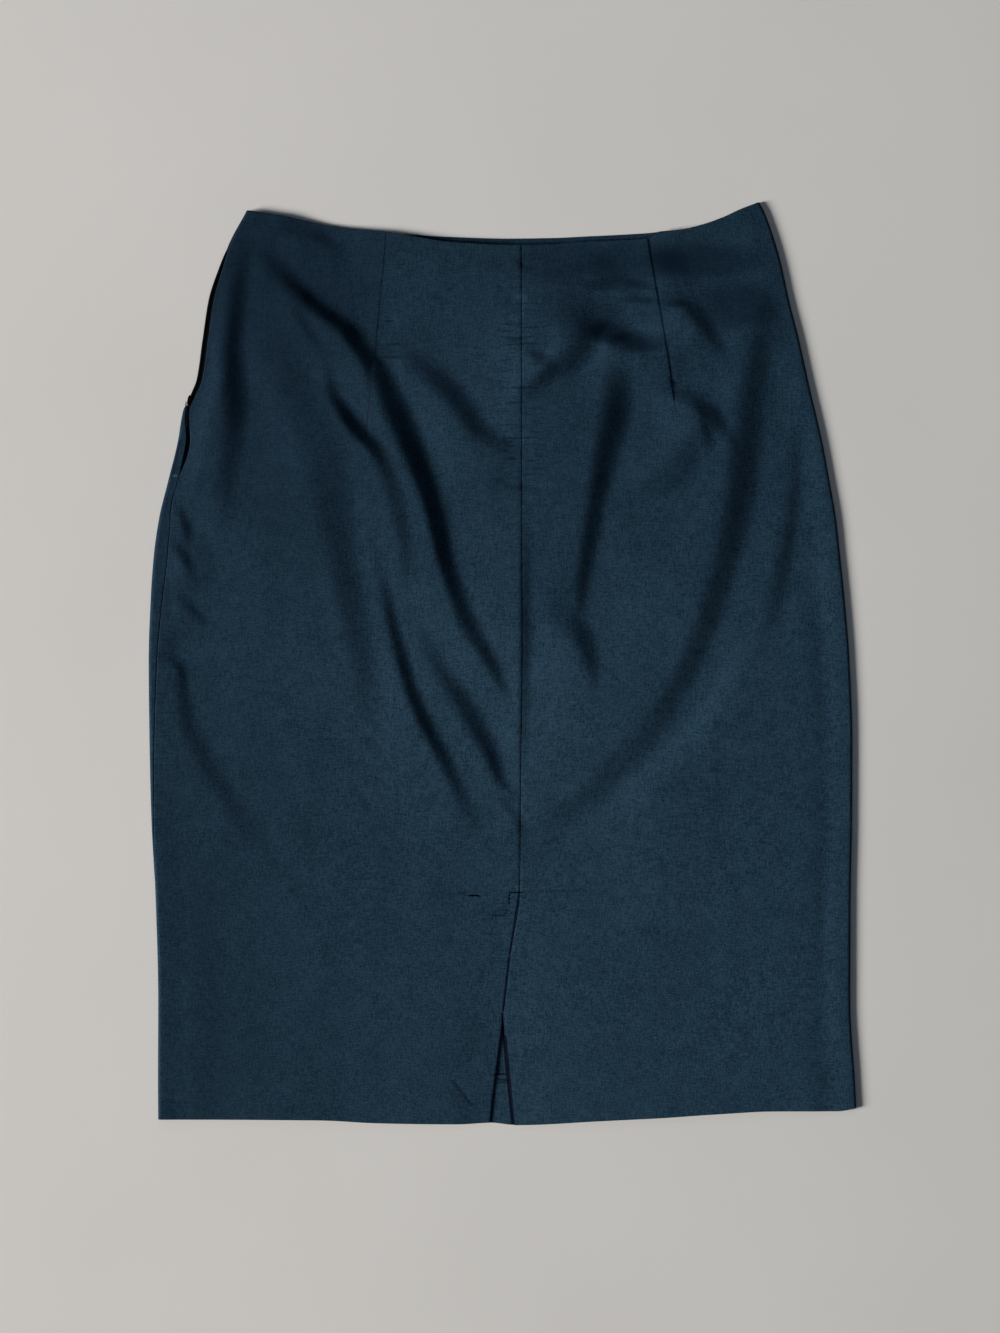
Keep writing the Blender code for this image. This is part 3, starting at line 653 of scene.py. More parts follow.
def beside(path, across, level):
    """Signed distance from a path, positive on its left, and how far along it the nearest point is."""
    nearest = np.full(across.shape, np.inf)
    signed = np.zeros(across.shape)
    along = np.zeros(across.shape)
    for k, (start, end) in enumerate(zip(path, path[1:])):
        run = end - start
        u, v = across - start[0], level - start[1]
        t = np.clip((u * run[0] + v * run[1]) / (run @ run), 0.0, 1.0)
        off_u, off_v = u - t * run[0], v - t * run[1]
        away = np.hypot(off_u, off_v)
        closer = away < nearest
        side = np.sign(run[0] * off_v - run[1] * off_u)
        nearest = np.where(closer, away, nearest)
        signed = np.where(closer, side * away, signed)
        along = np.where(closer, k + t, along)
    return signed, along


def window(path, margin):
    """The part of the grid that lies within a margin of a path."""
    low = np.floor((path.min(0) - margin - GRID_LOW) / STEP).astype(int)
    high = np.ceil((path.max(0) + margin - GRID_LOW) / STEP).astype(int) + 1
    return slice(max(low[1], 0), max(high[1], 0)), slice(max(low[0], 0), max(high[0], 0))


def bell(radius):
    """Bell-shaped weights of neighbouring cells, for a radius in millimetres."""
    cells = radius / STEP
    reach = int(BELL_REACH * cells) + 1
    return reach, np.exp(-0.5 * (np.arange(-reach, reach + 1) / cells) ** 2)


def blur(field, radius):
    """Softens a grid of heights over a radius in millimetres."""
    reach, weights = bell(radius)
    weights /= weights.sum()
    for axis in (0, 1):
        padding = [(reach, reach) if axis == a else (0, 0) for a in (0, 1)]
        wide = np.pad(field, padding, mode="edge")
        cells = np.arange(field.shape[axis])
        field = sum(weight * np.take(wide, k + cells, axis=axis) for k, weight in enumerate(weights))
    return field


def lay_folds(folds):
    """All creases added up: a steep face along each line and a long fall behind it."""
    total = np.zeros(GRID_SHAPE)
    for fold in folds:
        rows = smooth_path(fold.path)
        part = window(rows[:, :2], FACE_MARGIN + FALL_REACH * fold.fall)
        off, along = beside(rows[:, :2], grid_across[part], grid_level[part])
        at = np.arange(len(rows))
        height = np.interp(along, at, rows[:, 2])
        height = np.where(height * rows[:, 2].sum() > 0.0, height, 0.0)
        face = np.interp(along, at, rows[:, 3])
        step = ease((off + face) / (2.0 * face))
        fall = np.exp(-((np.maximum(np.abs(off) - face, 0.0) / fold.fall) ** 2))
        lift = blur(height * fall, min(FALL_SOFTEN, FALL_SOFTEN_SHARE * fold.fall))
        total[part] += lift * (fold.share * step - (1.0 - fold.share) * (1.0 - step))
    return total


crease_grid = blur(lay_folds(FOLDS), SOFTEN)
print("highest crease in mm:", round(float(crease_grid.max()), 1))

# %% [markdown]
# ## Small wrinkles
#
# Beside the broad folds there are short, shallow wrinkles, mostly where a dart pulls, where the vent is
# stitched and all along the centre-back seam, whose thread is a little too tight. Each is a soft trough, or a
# low ridge where its depth is negative. The seam's own puckers are drawn at random from a seeded generator,
# so that every run gives the same ones.

# %% Table of wrinkles
Wrinkle = namedtuple("Wrinkle", "depth half path")
WRINKLES = (
    Wrinkle(1.5, 1.8, ((-103, 572), (-96, 571), (-88, 569))),
    Wrinkle(1.7, 1.8, ((-104, 555), (-97, 553), (-86, 550))),
    Wrinkle(1.3, 1.6, ((-107, 546), (-98, 542), (-84, 540))),
    Wrinkle(1.2, 1.6, ((1, 163), (25, 165), (49, 164))),
    Wrinkle(0.9, 1.6, ((-62, 163), (-42, 162), (-24, 162))),
    Wrinkle(0.9, 1.5, ((-51, 31), (-42, 20), (-34, 9))),
    Wrinkle(-0.4, 2.2, ((30, 86), (40, 80), (52, 72))),
    Wrinkle(1.0, 1.2, ((-8, 152), (-12, 148), (-16, 145), (-24, 147))),
    Wrinkle(0.5, 4.0, ((-121, 286), (-108, 274), (-94, 265))),
    Wrinkle(0.4, 4.0, ((-122, 244), (-112, 232), (-101, 221))),
    Wrinkle(0.9, 1.5, ((104, 531), (111, 527), (117, 530))),
)
WRINKLE_ENDS = 0.3
PUCKERS = 17
PUCKER_LEVELS = (430.0, 612.0)
PUCKER_LENGTHS = (9.0, 24.0)
PUCKER_DEPTHS = (0.5, 1.0)
PUCKER_HALVES = (1.3, 2.4)
PUCKER_START = 3.0
PUCKER_SLANT = 2.5
PUCKER_BEND = 0.8
PUCKERS_TO_LEFT = 0.55
random = np.random.default_rng(11)


def lay_wrinkles(wrinkles):
    """All wrinkles added up: soft troughs that fade out at both ends."""
    total = np.zeros(GRID_SHAPE)
    for wrinkle in wrinkles:
        path = smooth_path(wrinkle.path)
        part = window(path, 4.0 * wrinkle.half)
        off, along = beside(path, grid_across[part], grid_level[part])
        share = along / (len(path) - 1)
        ends = ease(share / WRINKLE_ENDS) * ease((1.0 - share) / WRINKLE_ENDS)
        total[part] -= wrinkle.depth * np.exp(-((off / wrinkle.half) ** 2)) * ends
    return total


def seam_puckers():
    """Short troughs that run out from the centre-back seam, now to one side and now to the other."""
    rows = []
    for k in range(PUCKERS):
        level = random.uniform(*PUCKER_LEVELS)
        length = random.uniform(*PUCKER_LENGTHS)
        side = -1.0 if random.random() < PUCKERS_TO_LEFT else 1.0
        start = -PUCKER_START * side
        slant = random.uniform(-PUCKER_SLANT, PUCKER_SLANT)
        end = side * length
        middle = (0.5 * (start + end), level + random.uniform(-PUCKER_BEND, PUCKER_BEND))
        path = ((start, level), middle, (end, level + slant))
        rows.append(Wrinkle(random.uniform(*PUCKER_DEPTHS), random.uniform(*PUCKER_HALVES), path))
    return rows


wrinkle_grid = lay_wrinkles(WRINKLES) + lay_wrinkles(seam_puckers())
print("wrinkles:", len(WRINKLES), "and puckers:", PUCKERS)

# %% [markdown]
# ## Uneven cloth
#
# Pressed cloth is never quite flat. Three seeded sets of humps, from a hand's breadth down to a few
# millimetres, are added on the same grid. Points of a panel lie between the grid's, so the grid is read
# between four of them.

# %% Uneven cloth
Rumple = namedtuple("Rumple", "across along depth")
RUMPLES = (
    Rumple(26.0, 34.0, 0.30),
    Rumple(9.0, 14.0, 0.09),
    Rumple(3.2, 4.5, 0.022),
)
INSIDE_GRID = 1.001


def rumple(across, along):
    """A smooth random grid of spread 1, with humps of the sizes given."""
    field = random.standard_normal(GRID_SHAPE)
    for axis, radius in ((0, along), (1, across)):
        _, weights = bell(radius)
        field = np.apply_along_axis(lambda line: np.convolve(line, weights, mode="same"), axis, field)
    return field / field.std()


uneven_grid = sum(row.depth * rumple(row.across, row.along) for row in RUMPLES)
print("unevenness in mm:", round(float(uneven_grid.std()), 2))


def read_grid(grid, across, level):
    """The grid's value at any points, read between its four nearest ones."""
    x = np.clip((across - GRID_LOW[0]) / STEP, 0.0, GRID_SHAPE[1] - INSIDE_GRID)
    y = np.clip((level - GRID_LOW[1]) / STEP, 0.0, GRID_SHAPE[0] - INSIDE_GRID)
    i, j = np.floor(y).astype(int), np.floor(x).astype(int)
    v, u = y - i, x - j
    lower = grid[i, j] * (1 - u) + grid[i, j + 1] * u
    upper = grid[i + 1, j] * (1 - u) + grid[i + 1, j + 1] * u
    return lower * (1 - v) + upper * v


# %% [markdown]
# ## How the back lies
#
# The back rolls over a small rim at each side, the left one a little higher than the right, and rises from
# it to its creases. Low down on the right it hangs into a faint hollow beside the rim, and beside the vent
# it sinks towards the front. Where creases would push it lower than the front's cloth allows, it is held up
# softly.
#
# Both darts and the centre seam are pressed lines: the cloth folded inside lies to one side and raises a
# small step there. Seams pucker slightly too, because thread is tighter than cloth.

# %% The lie of the back
RIM = 2.4
RISE = {"left": 2.4, "right": 1.6}
QUARTER = RIM * math.pi / 2.0
RIM_BLEND = 20.0
VENT_TOP = 164.0
HEM_SWAY = 120.0
WAIST_SWAY = 520.0
LIP_FACE = 0.8
LIP_FALL = 9.0
DART_FADE = 20.0
SEAM_FADE = 30.0
Lip = namedtuple("Lip", "level rise")
DART_LIP = {
    "left": through((Lip(480, 0.45), Lip(540, 0.4), Lip(556, -0.12), Lip(640, -0.12)), "rise"),
    "right": through((Lip(480, -0.6), Lip(640, -0.6)), "rise"),
}
SEAM_LIP = -0.25
VENT_DIP_REACH = 30.0
Hollow = namedtuple("Hollow", "depth inside half top fade")
HOLLOW = Hollow(depth=1.0, inside=14.0, half=10.0, top=330.0, fade=90.0)
Dip = namedtuple("Dip", "level depth")
VENT_DIPS = (
    Dip(-10, 1.75),
    Dip(30, 1.9),
    Dip(50, 2.2),
    Dip(90, 1.3),
    Dip(130, 0.8),
    Dip(164, 0.3),
    Dip(204, 0.0),
    Dip(700, 0.0),
)
VENT_DIP = through(VENT_DIPS, "depth")
Ripple = namedtuple("Ripple", "depth length phase")
RIPPLES = (Ripple(0.08, 2.9, 1.0), Ripple(0.056, 4.3, 2.0), Ripple(0.04, 1.9, 0.0))
RIPPLE_REACH = 7.0
DART_PHASE = 1.3
SEAM_PHASE = 0.4
UNEVEN_EDGE = 30.0
LOWEST = 2.2
SQUASH = 0.7


def sway(nominal):
    """How much a level follows the hem's curve and the waist's curve."""
    return 1.0 - ease(nominal / HEM_SWAY), ease((nominal - WAIST_SWAY) / (LENGTH - WAIST_SWAY))


def edge_level(nominal, side):
    """The true level of a nominal one at a side edge."""
    hem, waist = sway(nominal)
    end = 0 if side == "left" else -1
    return nominal + hem * HEM[end].level + waist * (WAIST[end].level - LENGTH)


def true_level(nominal, across, dipped):
    """Where a point of a nominally level line is: lines near the hem and the waist follow their curves."""
    hem, waist = sway(nominal)
    left, right = EDGE["left"](edge_level(nominal, "left")), EDGE["right"](edge_level(nominal, "right"))
    share = (across - left) / (right - left)
    at_waist = WAIST[0].across + share * (WAIST[-1].across - WAIST[0].across)
    at_hem = HEM[0].across + share * (HEM[-1].across - HEM[0].across)
    drop = WAIST_DIP(at_waist) if dipped else 0.0
    return nominal + hem * HEM_LEVEL(at_hem) + waist * (WAIST_LEVEL(at_waist) - LENGTH - drop)


def seam_pull(distance, level, phase):
    """Small puckers beside a line of stitching."""
    ripple = sum(row.depth * np.sin(level / row.length + row.phase * phase) for row in RIPPLES)
    return ripple * np.exp(-((distance / RIPPLE_REACH) ** 2))


def pressed_lip(off, rise):
    """The step where the cloth inside a seam or a dart lies to the right, or to the left if negative."""
    towards = off * np.sign(rise)
    step = ease((towards + LIP_FACE) / (2.0 * LIP_FACE))
    return np.abs(rise) * step * np.exp(-((np.maximum(towards - LIP_FACE, 0.0) / LIP_FALL) ** 2))


def held_up(lie):
    """Heights that never sink far below the lowest."""
    sunk = np.minimum(lie - LOWEST, 0.0)
    return np.where(sunk < 0.0, LOWEST - SQUASH + SQUASH * np.exp(sunk / SQUASH), lie)


def back_height(across, level):
    """Height of the back's outer face above the floor."""
    left, right = EDGE["left"](level), EDGE["right"](level)
    inside = np.minimum(across - left, right - across) - RIM
    middle = (across - left) / (right - left)
    puff = PUFF(level) * (1.0 - (2.0 * middle - 1.0) ** 4)
    lie = BASE(level) + puff + read_grid(crease_grid, across, level) + read_grid(wrinkle_grid, across, level)
    lie = lie + read_grid(uneven_grid, across, level) * ease(inside / UNEVEN_EDGE)
    from_seam = across - VENT_LEFT(level) - 0.5 * VENT_PARTING(level)
    hollow = np.exp(-(((right - across - RIM - HOLLOW.inside) / HOLLOW.half) ** 2))
    lie = lie - HOLLOW.depth * hollow * (1.0 - ease((level - HOLLOW.top) / HOLLOW.fade))
    rim_top = 2.0 * np.where(middle < 0.5, RISE["left"], RISE["right"])
    height = rim_top + (held_up(lie) - rim_top) * ease(inside / RIM_BLEND)
    height = height - VENT_DIP(level) * np.exp(-((from_seam / VENT_DIP_REACH) ** 2))
    for name in ("left", "right"):
        off = across - DART_AT[name](level)
        shown = ease((level - DART_TIP[name]) / DART_FADE)
        lip = pressed_lip(off, DART_LIP[name](level))
        height = height + shown * (lip + seam_pull(off, level, DART_PHASE))
    above_vent = ease((level - VENT_TOP) / SEAM_FADE)
    return height + above_vent * (seam_pull(from_seam, level, SEAM_PHASE) + pressed_lip(from_seam, SEAM_LIP))


print("back's height at its middle:", round(float(back_height(np.array(0.0), np.array(315.0))), 1), "mm")

# %% [markdown]
# ## Three surfaces
#
# Each panel is a surface with two coordinates. One is the nominal level. The other is the reach: the
# distance round the rolled side edge from its outermost line, so that cloth keeps its width as it rolls
# over. The front starts at the right rim, crosses under the whole skirt and comes up round the left one.

# %% Surfaces of the panels
NUDGE = 0.2


def roll(reach, nominal, side):
    """The rolled rim and the back beyond it, above the outermost line; or the underside, below it."""
    level = edge_level(nominal, side)
    edge = EDGE[side](level)
    inward = 1.0 if side == "left" else -1.0
    angle = np.clip(reach, -QUARTER, QUARTER) / RIM
    beyond = np.maximum(np.abs(reach) - QUARTER, 0.0)
    across = edge + inward * (RIM * (1.0 - np.cos(angle)) + beyond)
    above = true_level(nominal, across, True)
    below = true_level(nominal, across, False)
    rim = RISE[side] * (1.0 + np.sin(angle))
    height = np.where(reach > QUARTER, back_height(across, above), rim)
    return across, np.where(reach < 0.0, below, above), height


def left_back(reach, nominal):
    return roll(reach, nominal, "left")


def right_back(reach, nominal):
    return roll(reach, nominal, "right")


def front_span(nominal):
    """Width of the flat stretch under the skirt."""
    left = EDGE["left"](edge_level(nominal, "left")) + RIM
    right = EDGE["right"](edge_level(nominal, "right")) - RIM
    return right - left


def front(run, nominal):
    """The front, with `run` counted from the right edge's outermost line."""
    span = front_span(nominal)
    from_right = roll(-run, nominal, "right")
    reach = run - 2.0 * QUARTER - span
    from_left = roll(reach, nominal, "left")
    near = run < QUARTER + 0.5 * span
    return tuple(np.where(near, a, b) for a, b in zip(from_right, from_left))


def outward(surface, run, nominal, sign):
    """Points and unit normals of a surface, in millimetres."""
    here = np.stack(np.broadcast_arrays(*surface(run, nominal)), axis=-1)
    over = np.stack(np.broadcast_arrays(*surface(run + NUDGE, nominal)), axis=-1) - here
    up = np.stack(np.broadcast_arrays(*surface(run, nominal + NUDGE)), axis=-1) - here
    normal = np.cross(over, up)
    return here, sign * normal / np.linalg.norm(normal, axis=-1, keepdims=True)


print("width of the front's flat stretch at the hip:", round(float(front_span(np.array(300.0))), 1), "mm")

# %% [markdown]
# ## Turned edges
#
# No raw edge shows on a finished skirt. The hem, the waist and both sides of the vent are turned in, and
# the side seams roll inwards. So each panel is laid as one sheet that really goes round its edges: rows and
# columns carry a place and an angle, from 0 on the outside to half a turn for the cloth that lies inside.
# Where the hem and the vent's facing cross, the cloth is folded twice, as a sewer would fold it. Solidify
# then gives the sheet its thickness.

# %% Rows and columns
CLOTH = 0.3
TURN = 0.35
DOUBLE_TURN = 0.8
HEM_DEPTH = 31.0
WAIST_TURN = 12.0
ROW = 2.1
PLAIN_ROW = 4.5
PLAIN_BELOW = 175.0
ARC = 6
HEM_LINES = 9
WAIST_LINES = 4
SEAM_ROLL = 0.5
ROLL_TURNS = (1.0, 0.75, 0.5, 0.25)
Line = namedtuple("Line", "place turned")


def turned_lines(depth, count):
    """Lines from the inner end of a turning out to its crease: the cloth inside, then the bend."""
    inside = [Line(depth * k / count, math.pi) for k in range(count, 0, -1)]
    bend = [Line(0.0, math.pi * (ARC - k) / ARC) for k in range(ARC + 1)]
    return inside + bend


def level_rows():
    """Nominal level, and depth below the outer cloth, of each row from inside the hem to inside the waist."""
    half = 0.5 * (CLOTH + TURN)
    rows = []
    for line in turned_lines(HEM_DEPTH, HEM_LINES):
        rows.append((half + line.place - 0.5 * TURN * math.sin(line.turned), line.turned))
    rows += [(place, 0.0) for place in np.arange(half + PLAIN_ROW, PLAIN_BELOW, PLAIN_ROW)]
    rows += [(place, 0.0) for place in np.arange(PLAIN_BELOW, LENGTH - half - 0.5 * ROW, ROW)]
    for line in reversed(turned_lines(WAIST_TURN, WAIST_LINES)):
        rows.append((LENGTH - half - line.place + 0.5 * TURN * math.sin(line.turned), line.turned))
    nominal, turned = np.array(rows).T
    return nominal, 0.5 * TURN * (1.0 - np.cos(turned))


def strip(start, end, count, inner):
    """Evenly spaced columns from a start up to, but without, an end."""
    return [(start + share * (end - start), inner) for share in np.arange(count) / count]


def seam_roll(flat, inner, inward, turns):
    """Columns round the rolled edge at a side seam, beyond the place where the cloth is flat."""
    columns = []
    for turn in turns:
        angle = 0.5 * math.pi * turn
        run = flat - inward * SEAM_ROLL * math.sin(angle)
        columns.append((run, inner + SEAM_ROLL * (1.0 - math.cos(angle))))
    return columns


print("rows of a panel:", len(level_rows()[0]))

# %% Laying a panel
SEAM_PARTING = 0.15
SIDE_STRIP = 7.0
SIDE_COLUMNS = 12
DART_STRIP = 3.0
DART_COLUMNS = 13
COLUMN = 2.0
FACING = 26.0
ALLOWANCE = 12.0
FACING_TOP = VENT_TOP - 8.0
FACING_FADE = 10.0
CROSSING_EDGE = 1.0
CROSSING_FADE = 8.0
CENTRE_LINES = 7
RIGHT_RIM = 1.5
RIGHT_RIM_COLUMNS = 7
FLOOR_COLUMNS = 110
LEFT_RIM = 2.5
LEFT_RIM_COLUMNS = 18


def lay_panel(name, surface, sign, nominal, columns):
    """A sheet of rows and columns that lie some way inside a surface, as an object with a thickness."""
    run = np.stack([column[0] for column in columns], axis=1)
    depth = np.stack([column[1] for column in columns], axis=1) + 0.5 * CLOTH
    here, normal = outward(surface, run, nominal[:, None], sign)
    points = here - normal * depth[..., None]
    index = np.arange(depth.size).reshape(depth.shape)
    corners = [index[:-1, :-1], index[:-1, 1:], index[1:, 1:], index[1:, :-1]]
    if sign < 0.0:
        corners.reverse()
    faces = np.stack(corners, axis=-1).reshape(-1, 4)
    placed = to_frame(points[..., 0], points[..., 1], points[..., 2]).reshape(-1, 3)
    mesh = bpy.data.meshes.new(name)
    mesh.from_pydata(placed.tolist(), [], faces.tolist())
    mesh.shade_smooth()
    panel = bpy.data.objects.new(name, mesh)
    bpy.context.scene.collection.objects.link(panel)
    wall = panel.modifiers.new("cloth", "SOLIDIFY")
    wall.thickness = CLOTH * MM
    wall.offset = 0.0
    return panel


def lay_back(name, surface, side, sign):
    """One back: from its side seam to the centre back, turned in at the hem, the waist and the centre."""
    nominal, inner = level_rows()
    level = edge_level(nominal, side)
    if side == "left":
        start = REACH["back"](level)
        centre = VENT_LEFT(nominal)
    else:
        start = np.full(len(nominal), SEAM_PARTING)
        centre = VENT_LEFT(nominal) + VENT_PARTING(nominal)
    edge = EDGE[side](level)
    end = np.abs(centre - edge) - RIM + QUARTER
    dart = np.abs(DART_AT[side](nominal) - edge) - RIM + QUARTER
    above_hem = ease((nominal - HEM_DEPTH - CROSSING_EDGE) / CROSSING_FADE)
    below_waist = ease((LENGTH - WAIST_TURN - CROSSING_EDGE - nominal) / CROSSING_FADE)
    turn = TURN + (DOUBLE_TURN - TURN) * (2.0 - above_hem - below_waist)
    first = start + SEAM_ROLL
    near = first + SIDE_STRIP
    last = end - 0.5 * (CLOTH + turn)
    before, after = dart - DART_STRIP, dart + DART_STRIP
    columns = seam_roll(first, inner, 1.0, ROLL_TURNS)
    columns += strip(first, near, SIDE_COLUMNS, inner)
    columns += strip(near, before, round((before.mean() - near.mean()) / COLUMN), inner)
    columns += strip(before, after, DART_COLUMNS, inner)
    columns += strip(after, last, round((last.mean() - after.mean()) / COLUMN), inner)
    width = FACING - (FACING - ALLOWANCE) * ease((nominal - FACING_TOP) / FACING_FADE)
    bend = 0.5 * turn - inner
    for line in reversed(turned_lines(1.0, CENTRE_LINES)):
        run = last - line.place * width + bend * np.sin(line.turned)
        columns.append((run, 0.5 * turn - bend * np.cos(line.turned)))
    return lay_panel(name, surface, sign, nominal, columns)


def lay_front():
    """The front: from the right side seam, under the skirt and up round the left rim."""
    nominal, inner = level_rows()
    span = front_span(nominal)
    first = np.full(len(nominal), SEAM_PARTING + SEAM_ROLL)
    floor_start = np.full(len(nominal), QUARTER + RIGHT_RIM)
    floor_end = QUARTER + span - LEFT_RIM
    last = 2.0 * QUARTER + span + REACH["front"](edge_level(nominal, "left")) - SEAM_ROLL
    columns = seam_roll(first, inner, 1.0, ROLL_TURNS)
    columns += strip(first, floor_start, RIGHT_RIM_COLUMNS, inner)
    columns += strip(floor_start, floor_end, FLOOR_COLUMNS, inner)
    columns += strip(floor_end, last, LEFT_RIM_COLUMNS, inner)
    columns += seam_roll(last, inner, -1.0, (0.0, *reversed(ROLL_TURNS)))
    return lay_panel("front_panel", front, 1.0, nominal, columns)


panels = {
    "back_left": lay_back("back_left_panel", left_back, "left", 1.0),
    "back_right": lay_back("back_right_panel", right_back, "right", -1.0),
    "front": lay_front(),
}
for node, panel in panels.items():
    print(node, "has", len(panel.data.polygons), "faces")

# %% [markdown]
# ## The cloth
#
# The suiting is a fine matt weave. From a step away it reads as one deep colour with a slubby, crosswise
# and lengthwise streakiness; close up it is a twill of half-millimetre yarns. Both are made from the place
# in the frame, so the grain runs straight up the skirt as it does on the real one.
#
# Some of the cloth's colour is painted shade. Light from the left hardly shades a crease or an edge that
# runs level, so soft oval marks paint shade along them, and three broad ones paint shade over whole areas
# beside the zip and under the darts' tips. Faint dark streaks beside the centre-back seam are painted shade
# of its finest pulls. Strokes paint shade lines along the pressed edges of the vent, the left dart and the
# zip, and along a crease by the vent's foot, whose steps are too small to shade. A few pale marks are
# painted highlights at stitched corners. The cloth is also painted darker towards the waist and the left,
# as shade that the lights alone wouldn't give it.

# %% Cloth finish
CLOTH_DEEP = (0.0026, 0.0153, 0.0302, 1.0)
CLOTH_LIT = (0.0214, 0.0505, 0.0806, 1.0)
YARN = 0.55
RIB = 2.6 * YARN
SLUB = (1.2, 0.17)
SLUB_RISE = 0.3
FINE_GRAIN = 0.9
CLOUDS = 0.07
TONE_SLUB, TONE_FINE, TONE_CLOUDS = 0.52, 0.38, 0.10
TONE_RANGE = (0.385, 0.615)
RELIEF_TWILL, RELIEF_SLUB, RELIEF_FINE = 0.25, 0.6, 0.4
RELIEF_DEPTH = 0.10
SHADE = (0.0, 0.0064, 0.0162, 1.0)
LINE_SHADE = (0.0, 0.0012, 0.0090, 1.0)
# Painted shade: the cloth is darker towards the waist and towards the left.
UPPER_SHADE = 0.32
UPWARDS = (290.0, 600.0)
LEFT_SHADE = 0.37
RIGHTWARDS = (-230.0, 15.0)
# Painted shade: dark streaks of the finest pulls beside the centre-back seam.
SEAM_SHADE = 0.48
SEAM_SHADE_AT = -1.0
SEAM_SHADE_SIDES = (8.0, 22.0)
SEAM_SHADE_FOOT = (430.0, 470.0)
SEAM_SHADE_HEAD = (560.0, 600.0)
PULL_SHADE_SCALES = (0.05, 0.42)
PULL_SHADE_RANGE = (0.50, 0.68)
UPPER_SIDE = (0.06, 0.16)
MARK_RIM = (0.1, 1.0)
STROKE_END = 2.0
Mark = namedtuple("Mark", "across level half_wide half_high depth")
# Painted shade: dark oval marks along level creases and edges, and broad ones over whole areas.
SHADE_MARKS = (
    Mark(-165.0, 592.0, 80.0, 60.0, 0.10),
    Mark(60.0, 430.0, 130.0, 125.0, 0.18),
    Mark(-150.0, 458.0, 70.0, 80.0, 0.10),
    Mark(32.0, 614.0, 40.0, 20.0, 0.26),
    Mark(82.0, 612.0, 42.0, 20.0, 0.34),
    Mark(-94.0, 571.0, 5.0, 1.3, 0.40),
    Mark(-90.0, 554.5, 7.0, 1.3, 0.40),
    Mark(-94.0, 545.0, 10.0, 1.4, 0.40),
    Mark(-17.5, 147.0, 7.5, 1.0, 0.70),
    Mark(30.0, 164.3, 36.0, 1.3, 0.20),
    Mark(-46.0, 163.2, 24.0, 1.2, 0.16),
    Mark(128.0, 614.0, 48.0, 17.0, 0.40),
    Mark(155.0, 582.0, 34.0, 22.0, 0.40),
    Mark(66.0, 596.5, 34.0, 6.0, 0.26),
    Mark(84.0, 586.0, 17.0, 3.0, 0.34),
    Mark(109.0, 583.0, 11.0, 4.0, 0.40),
    Mark(60.0, 563.0, 22.0, 11.0, 0.38),
    Mark(84.0, 556.0, 28.0, 10.0, 0.42),
    Mark(93.0, 576.0, 15.0, 13.0, 0.22),
    Mark(-14.8, 33.4, 6.0, 1.1, 0.95),
    Mark(-14.8, 27.2, 5.5, 0.9, 0.45),
    Mark(-4.0, 163.4, 6.5, 1.0, 0.70),
    Mark(-9.2, 158.5, 0.9, 5.0, 0.55),
)
Stroke = namedtuple("Stroke", "across level slope top soft depth")
# Painted shade: dark lines along the pressed edges of the vent, the left dart and the zip, and a crease.
SHADE_STROKES = (
    Stroke(-5.7, -4.0, -0.10, 62.0, (1.0, 1.9), 1.00),
    Stroke(-12.4, 60.0, -0.08, 78.0, (0.5, 1.3), 0.90),
    Stroke(-104.2, 551.0, 0.094, 634.0, (0.3, 0.8), 0.45),
    Stroke(-111.2, 487.0, 0.109, 553.0, (0.3, 0.9), 0.65),
    Stroke(-13.2, 78.0, 0.118, 118.0, (0.5, 1.3), 0.80),
    Stroke(-8.5, 118.0, 0.152, 165.0, (0.5, 1.2), 0.75),
    Stroke(-249.9, 457.0, 0.228, 487.0, (0.4, 1.1), 0.75),
    Stroke(-33.9, 9.3, -0.771, 30.7, (0.6, 2.4), 0.50),
    Stroke(-13.0, 146.4, 0.80, 152.6, (0.5, 1.5), 0.60),
)
# Painted highlights: pale marks at stitched corners and edges.
HIGHLIGHT_COLOUR = (0.0450, 0.0850, 0.1200, 1.0)
HIGHLIGHT_MARKS = (
    Mark(-16.6, 31.6, 2.6, 0.8, 0.60),
    Mark(-247.0, 460.4, 2.8, 1.1, 0.50),
    Mark(-3.3, 166.5, 0.7, 3.4, 0.60),
)


def spot(mark, across, level):
    """1 in the middle of a mark and 0 outside it."""
    u, v = (across - mark.across) / mark.half_wide, (level - mark.level) / mark.half_high
    return 1.0 - (u * u + v * v).step(*MARK_RIM)


def drawn(stroke, across, level):
    """1 on a stroke's line and 0 beside it and past its ends."""
    off = (across - stroke.across - stroke.slope * (level - stroke.level)).size()
    foot = level.step(stroke.level, stroke.level + STROKE_END)
    head = 1.0 - level.step(stroke.top - STROKE_END, stroke.top)
    return foot * head * (1.0 - off.step(*stroke.soft))


